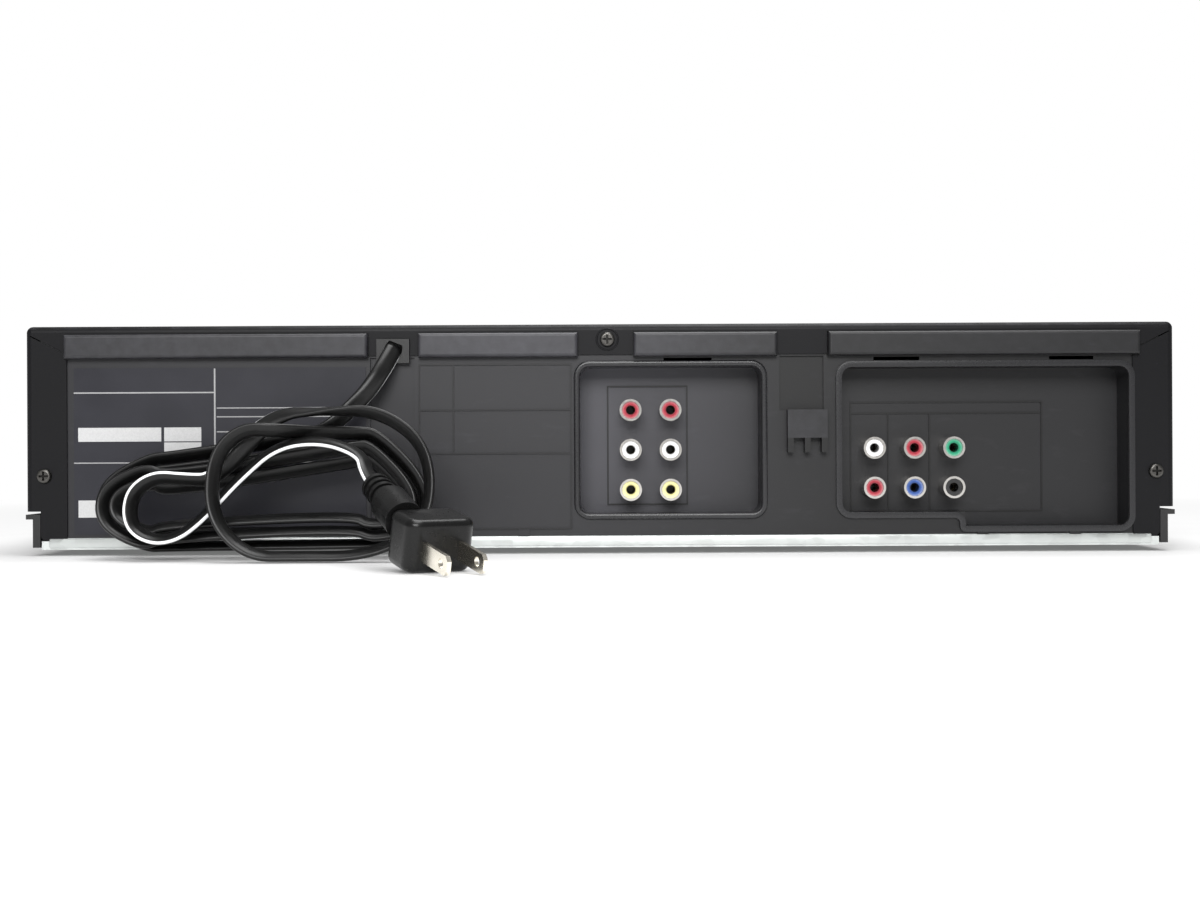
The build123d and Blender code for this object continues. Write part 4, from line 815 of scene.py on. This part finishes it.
# %% Rating label
label_tint = (0.96, 0.96, 1.30)
label = Finish("label_film", Specular_IOR_Level=0.3)
x, z = label.axes()[::2]
rules = (
    (0.1439, 0.1445, 0.0400, 0.0700), (0.1445, 0.1970, 0.0608, 0.0613), (0.0960, 0.1435, 0.0550, 0.0554),
    (0.0960, 0.1435, 0.0517, 0.0521), (0.0960, 0.1435, 0.0461, 0.0465), (0.0880, 0.1970, 0.0346, 0.0350),
)
boxes = (
    (0.1643, 0.1954, 0.0428, 0.0480), (0.1493, 0.1632, 0.0428, 0.0480),
    (0.1493, 0.1632, 0.0375, 0.0424), (0.1755, 0.1954, 0.0144, 0.0208),
)
ink = 0.0
for left, right, low, high in rules:
    ink = ink + within(x, left, right) * within(z, low, high) * 0.55
for left, right, low, high in boxes:
    ink = ink + within(x, left, right) * within(z, low, high) * 0.85
film = label.noise(60.0, 4.0)
speckle = label.noise(2200.0, 2.0)
ink = ink * (0.72 + 0.28 * speckle)
backing = label.mix(film, grey(0.012, label_tint), grey(0.020, label_tint))
label.feed("Base Color", label.mix(ink, backing, grey(0.62)))
label.feed("Roughness", 0.36 + (film - 0.5) * 0.12 + (speckle - 0.5) * 0.10)
label.bump(speckle, 0.15, 0.00003)
label.dress("rating_label")
print("label with", len(rules), "rules and", len(boxes), "boxes")

# %% [markdown]
# ## Lead and plug
# The vinyl of the lead is smooth and black, with one edge marked white along its whole length. The
# plug is moulded from a duller one that is rubbed in places. Object coordinates can't follow a lead
# that winds about, so the mark is read from the tube's own UV map, whose second axis goes round it.

# %% Lead and plug vinyl
vinyl = Finish("lead_vinyl", Specular_IOR_Level=0.28)
around = vinyl.axes(vinyl.node("ShaderNodeUVMap", {"uv_map": "lead"}))[1]
scuffed = vinyl.noise(140.0, 5.0)
pulled = vinyl.noise(900.0, 2.0, vinyl.stretched((0.4, 1.0, 1.0)))
stripe = vinyl.ramp(abs(around - 0.5), 0.438, 0.452)
mark = stripe * (0.80 + 0.20 * scuffed)
sheath = vinyl.mix(scuffed, grey(0.003), grey(0.007))
vinyl.feed("Base Color", vinyl.mix(mark, sheath, grey(0.86, (0.98, 0.99, 1.0))))
vinyl.feed("Roughness", 0.34 + (scuffed - 0.5) * 0.16 + (pulled - 0.5) * 0.08)
vinyl.bump(pulled, 0.12, 0.00005)
vinyl.dress("mains_lead")

plug = Finish("plug_vinyl", Specular_IOR_Level=0.20, Coat_Weight=0.08, Coat_Roughness=0.2)
scuffed = plug.noise(120.0, 6.0)
pitted = plug.noise(1500.0, 3.0)
rubbed = plug.ramp(scuffed, 0.58, 0.72)
plug.feed("Base Color", plug.mix(0.003 + 0.003 * scuffed + 0.006 * rubbed, black, grey(1.0)))
plug.feed("Roughness", 0.30 + (pitted - 0.5) * 0.18 + 0.14 * rubbed)
plug.bump(pitted, 0.25, 0.00005)
plug.dress("plug_body")
print("lead and plug dressed")

# %% [markdown]
# ## The front
# The photograph doesn't show the front, so it is kept plain: a satin fascia with faint lines drawn
# along it, and a smoked window over a dark display. Real smoked glass could let light through. An
# opaque finish under a clear coat looks the same while the display is off, and it bakes.

# %% Fascia
fascia = Finish("fascia", Specular_IOR_Level=0.45, Coat_Weight=0.12, Coat_Roughness=0.3)
drawn = fascia.noise(900.0, 3.0, fascia.stretched((0.02, 1.0, 1.0)))
drift = fascia.noise(12.0, 3.0)
fascia.feed("Base Color", fascia.mix(
    0.011 + 0.006 * drawn + 0.004 * drift, black, grey(1.0, (1.0, 1.0, 1.03))))
fascia.feed("Roughness", 0.34 + (drawn - 0.5) * 0.20)
fascia.bump(drawn, 0.15, 0.00003)
fascia.dress("front_panel", "cassette_door", "tray_front", "tray_ridge")
fascia.dress("door_ridge_1", "door_ridge_2", "door_ridge_3")
metal("bezel_alloy", (0.30, 0.30, 0.31, 1.0), 0.34, 500.0, (0.05, 1.0, 1.0)).dress("window_bezel")

print("fascia, flap and tray front dressed")

# %% Window and display
smoked = Finish("smoked_window", Specular_IOR_Level=0.6, Coat_Weight=0.6, Coat_Roughness=0.04)
haze = smoked.noise(25.0, 4.0)
smoked.feed("Base Color", smoked.mix(haze, (0.004, 0.005, 0.006, 1.0), (0.010, 0.011, 0.013, 1.0)))
smoked.feed("Roughness", 0.06 + 0.06 * haze)
smoked.dress("display_window")
cells = Finish("display_glass", Specular_IOR_Level=0.6)
upright = cells.node("ShaderNodeMapping", None, {
    "Vector": cells.place(), "Rotation": (math.pi / 2, 0.0, 0.0)})
grid = cells.node("ShaderNodeTexBrick", None, {
    "Vector": upright,
    "Color1": (0.010, 0.016, 0.016, 1.0), "Color2": (0.014, 0.022, 0.022, 1.0),
    "Mortar": (0.004, 0.005, 0.005, 1.0), "Scale": 60.0, "Mortar Size": 0.03})
cells.feed("Base Color", grid)
cells.feed("Roughness", 0.12 + 0.1 * cells.noise(80.0, 3.0))
cells.dress("display_module")
print("window and display dressed")

# %% [markdown]
# ## Button marks
# The caps carry only the marks that every player shares. They could be cut from a font, but these
# shapes are simple: a triangle, a bar, a square and a ring. Each is worked out from the distance to
# the middle of its cap, and printed on the front face alone.

# %% Shapes for the marks
def arrow(across, up, at, size):
    """1 inside a triangle that points along +across, with its middle at a place."""
    ahead = across - at
    return (ahead > -size) * (abs(up) < (size - ahead) * 0.62)


def square(across, up, half_across, half_up):
    return (abs(across) < half_across) * (abs(up) < half_up)


def round_mark(across, up, inner, outer):
    reach = (across * across + up * up) ** 0.5
    return within(reach, inner, outer)


# %% Marks of the buttons
def eject_mark(across, up):
    return arrow(up, across, 0.0005, 0.0014) + square(across, up + 0.0018, 0.0016, 0.0004)


def power_mark(across, up):
    gap = square(across, up - 0.0025, 0.0010, 0.0014)
    return round_mark(across, up, 0.0022, 0.0028) * (1.0 - gap) + square(across, up - 0.0019, 0.0003, 0.0015)


def forward_mark(across, up):
    return arrow(across, up, 0.0014, 0.0014) + arrow(across, up, -0.0014, 0.0014)


def rewind_mark(across, up):
    return forward_mark(-1.0 * across, up)


button_marks = {
    "power_button": power_mark,
    "disc_eject_button": eject_mark,
    "tape_eject_button": eject_mark,
    "play_button": lambda across, up: arrow(across, up, 0.0, 0.0018),
    "stop_button": lambda across, up: square(across, up, 0.0016, 0.0016),
    "rewind_button": rewind_mark,
    "forward_button": forward_mark,
    "record_button": lambda across, up: round_mark(across, up, -1.0, 0.0024),
}

# %% Button caps
cap_face = -0.1305
for name, mark in button_marks.items():
    low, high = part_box(name)
    cap = Finish(f"{name}_cap", Specular_IOR_Level=0.5)
    x, y, z = cap.axes()
    printed = mark(x - (low[0] + high[0]) / 2, z - (low[2] + high[2]) / 2) * (y < cap_face)
    fine = cap.noise(2200.0, 2.0)
    drift = cap.noise(60.0, 3.0)
    colour = (0.55, 0.02, 0.02, 1.0) if name == "record_button" else grey(0.70)
    cap.feed("Base Color", cap.mix(printed, cap.mix(drift, grey(0.020), grey(0.034)), colour))
    cap.feed("Roughness", 0.36 + (fine - 0.5) * 0.16)
    cap.bump(fine, 0.25, 0.00005)
    cap.dress(name)
print("front dressed,", len(button_marks), "caps")

# %% [markdown]
# ## Inside
# The works show a little when the cassette flap opens, and in full only without the cover: grey
# mouldings, white acetal gears, rubber, green boards with their tracks, the laminated transformer and
# the sleeved capacitor. Tracks and pads could be modelled, but from outside they are only a pattern,
# so a brick texture and a Voronoi texture draw them.

# %% Loader and deck plastics
moulded("loader_plastic", grey(0.030), 0.42, 1800.0, 0.00006).dress("loader_frame", "traverse_frame")
moulded("tray_plastic", grey(0.020), 0.36, 2200.0, 0.00005).dress("disc_tray")
moulded("acetal", grey(0.74, (1.0, 0.99, 0.95)), 0.38, 1400.0, 0.00004, 0.06).dress("tray_gear", "sled_gear")
reels = moulded("reel_plastic", grey(0.60, (1.0, 0.99, 0.96)), 0.40, 1600.0, 0.00004, 0.08)
reels.dress("supply_reel", "take_up_reel")
moulded("turntable_rubber", grey(0.016), 0.62, 1200.0, 0.00006).dress("turntable")
moulded("roller_rubber", grey(0.014), 0.66, 1200.0, 0.00006).dress("pinch_roller")

print("loader and deck plastics dressed")

# %% Pickup sled with its lens
lens_place = (-0.121, -0.035)
lens_radius = 0.0034
sled_top = 0.0412
sled = Finish("pickup_sled")
x, y, z = sled.axes()
across = x - lens_place[0]
along = y - lens_place[1]
lens = ((across * across + along * along) ** 0.5 < lens_radius) * (z > sled_top)
fine = sled.noise(1800.0, 2.0)
sled.feed("Base Color", sled.mix(lens, sled.mix(fine, grey(0.016), grey(0.024)), (0.05, 0.07, 0.16, 1.0)))
sled.feed("Roughness", 0.42 - 0.36 * lens + (fine - 0.5) * 0.1)
sled.bump(fine, 0.2, 0.00004)
sled.dress("pickup_sled")

print("sled", len(sled.tree.nodes), "nodes")

# %% Boards
board = Finish("board_mask", Specular_IOR_Level=0.5)
tracks = board.node("ShaderNodeTexBrick", {"offset": 0.35}, {
    "Vector": board.place(),
    "Color1": (0.010, 0.075, 0.026, 1.0), "Color2": (0.013, 0.095, 0.034, 1.0),
    "Mortar": (0.030, 0.16, 0.060, 1.0), "Scale": 110.0, "Mortar Size": 0.035})
pads = board.node("ShaderNodeTexVoronoi", None, {"Vector": board.place(), "Scale": 190.0}) < 0.16
board.feed("Base Color", board.mix(pads, tracks, grey(0.62, (1.0, 1.0, 0.97))))
board.feed("Metallic", pads * 0.9)
board.feed("Roughness", 0.30 + 0.12 * board.noise(600.0, 3.0))
board.dress("front_board", "main_board", "power_board")

print("boards", len(board.tree.nodes), "nodes")

# %% Transformer and capacitor
core_ends = (0.0881, 0.1159)
core = Finish("transformer_core")
taped = 1.0 - within(core.axes()[1], *core_ends)
sheets = core.noise(1.0, 2.0, core.stretched((30.0, 2400.0, 30.0)))
iron = core.mix(sheets, grey(0.06), grey(0.22))
tape = core.mix(core.noise(200.0, 3.0), (0.50, 0.34, 0.05, 1.0), (0.62, 0.44, 0.08, 1.0))
core.feed("Base Color", core.mix(taped, iron, tape))
core.feed("Metallic", (1.0 - taped) * 0.8)
core.feed("Roughness", 0.45 + (sheets - 0.5) * 0.2)
core.bump(sheets, 0.3, 0.00006)
core.dress("transformer")

can_place = (0.160, 0.102)
can_top = 0.0470
sleeve = Finish("capacitor_sleeve", Specular_IOR_Level=0.5)
x, y, z = sleeve.axes()
top = z > can_top
band = (abs(x - can_place[0]) < 0.0030) * (y > can_place[1]) * (1.0 - top)
shrink = sleeve.noise(300.0, 3.0)
film = sleeve.mix(shrink, (0.010, 0.014, 0.05, 1.0), (0.016, 0.022, 0.07, 1.0))
sleeve.feed("Base Color", sleeve.mix(top, sleeve.mix(band, film, grey(0.6)), grey(0.55)))
sleeve.feed("Metallic", top * 0.9)
sleeve.feed("Roughness", 0.28 + (shrink - 0.5) * 0.12)
sleeve.bump(shrink, 0.15, 0.00005)
sleeve.dress("capacitor")
print("transformer and capacitor dressed")

# %% [markdown]
# ## Floor and sky
# The photograph has a white sweep: no horizon, and only a soft shadow where the case and the lead
# meet the floor. A curved backdrop could give that, but it would show in views from other sides. Here
# the floor glows white to the camera and in reflections. Near the case it keeps most of its own
# shading, so the shadow stays. The sky is white to the camera too, and dimmer as a light.

# %% Floor
bpy.ops.object.select_all(action="DESELECT")
bpy.ops.mesh.primitive_plane_add(size=12.0, location=(0.0, 0.0, 0.0))
floor = bpy.context.object
floor.name = "floor"
sweep = Finish("white_sweep", Roughness=0.9)
pool_y = 0.08
x, y = sweep.axes()[:2]
along = y - pool_y
reach = (x * x + along * along) ** 0.5
paper = sweep.noise(40.0, 4.0)
rays = sweep.tree.nodes.new("ShaderNodeLightPath")
looked_at = Value(sweep, rays.outputs["Is Camera Ray"])
sweep.feed("Base Color", sweep.mix(
    looked_at, grey(0.92), sweep.mix(paper, grey(0.60), grey(0.63))))
kinds = ("Camera", "Glossy", "Transmission")
seen = sum((Value(sweep, rays.outputs[f"Is {kind} Ray"]) for kind in kinds), 0.0)
near_share = 0.12
share = (seen > 0.5) * (near_share + (1.0 - near_share) * sweep.ramp(reach, 0.28, 0.75))
glow = sweep.node("ShaderNodeEmission", None, {"Color": grey(1.0), "Strength": 1.0})
blend = sweep.node("ShaderNodeMixShader", None, {
    0: share, 1: Value(sweep, sweep.shader.outputs[0]), 2: glow})
sweep.tree.links.new(blend.socket, sweep.tree.nodes["Material Output"].inputs["Surface"])
sweep.dress("floor")
print("floor", len(sweep.tree.nodes), "nodes")

# %% Sky
world = bpy.data.worlds.new("studio_sky")
scene.world = world
world.use_nodes = True
sky_tree = world.node_tree
room = sky_tree.nodes["Background"]
room.inputs["Color"].default_value = grey(1.0)
room.inputs["Strength"].default_value = 0.35
white_sky = sky_tree.nodes.new("ShaderNodeBackground")
white_sky.inputs["Color"].default_value = grey(1.0)
white_sky.inputs["Strength"].default_value = 1.0
sky_mix = sky_tree.nodes.new("ShaderNodeMixShader")
sky_rays = sky_tree.nodes.new("ShaderNodeLightPath")
sky_tree.links.new(sky_rays.outputs["Is Camera Ray"], sky_mix.inputs["Fac"])
sky_tree.links.new(room.outputs[0], sky_mix.inputs[1])
sky_tree.links.new(white_sky.outputs[0], sky_mix.inputs[2])
sky_tree.links.new(sky_mix.outputs[0], sky_tree.nodes["World Output"].inputs["Surface"])
print("sky", world.name)

# %% [markdown]
# ## Lamps
# The photograph's light is even, with a pale edge along the hood bars and the lead. Small lamps would
# leave hard spots on the vinyl. Two large soft boxes do it: one overhead, and a weaker one above and
# behind the camera.

# %% Lamps
def softbox(name, place, target, size, power):
    """A rectangular area lamp that faces a target."""
    data = bpy.data.lights.new(name, "AREA")
    data.shape = "RECTANGLE"
    data.size, data.size_y = size
    data.energy = power
    lamp = bpy.data.objects.new(name, data)
    bpy.context.collection.objects.link(lamp)
    lamp.location = place
    lamp.rotation_euler = (Vector(target) - Vector(place)).to_track_quat("-Z", "Y").to_euler()


softbox("overhead", (-0.1, 0.14, 1.3), (0.0, 0.14, 0.0), (1.4, 0.8), 24.0)
softbox("camera_side", (0.10, 1.45, 0.70), (0.0, 0.1, 0.04), (0.9, 0.6), 21.0)
print("lamps: overhead and camera_side")
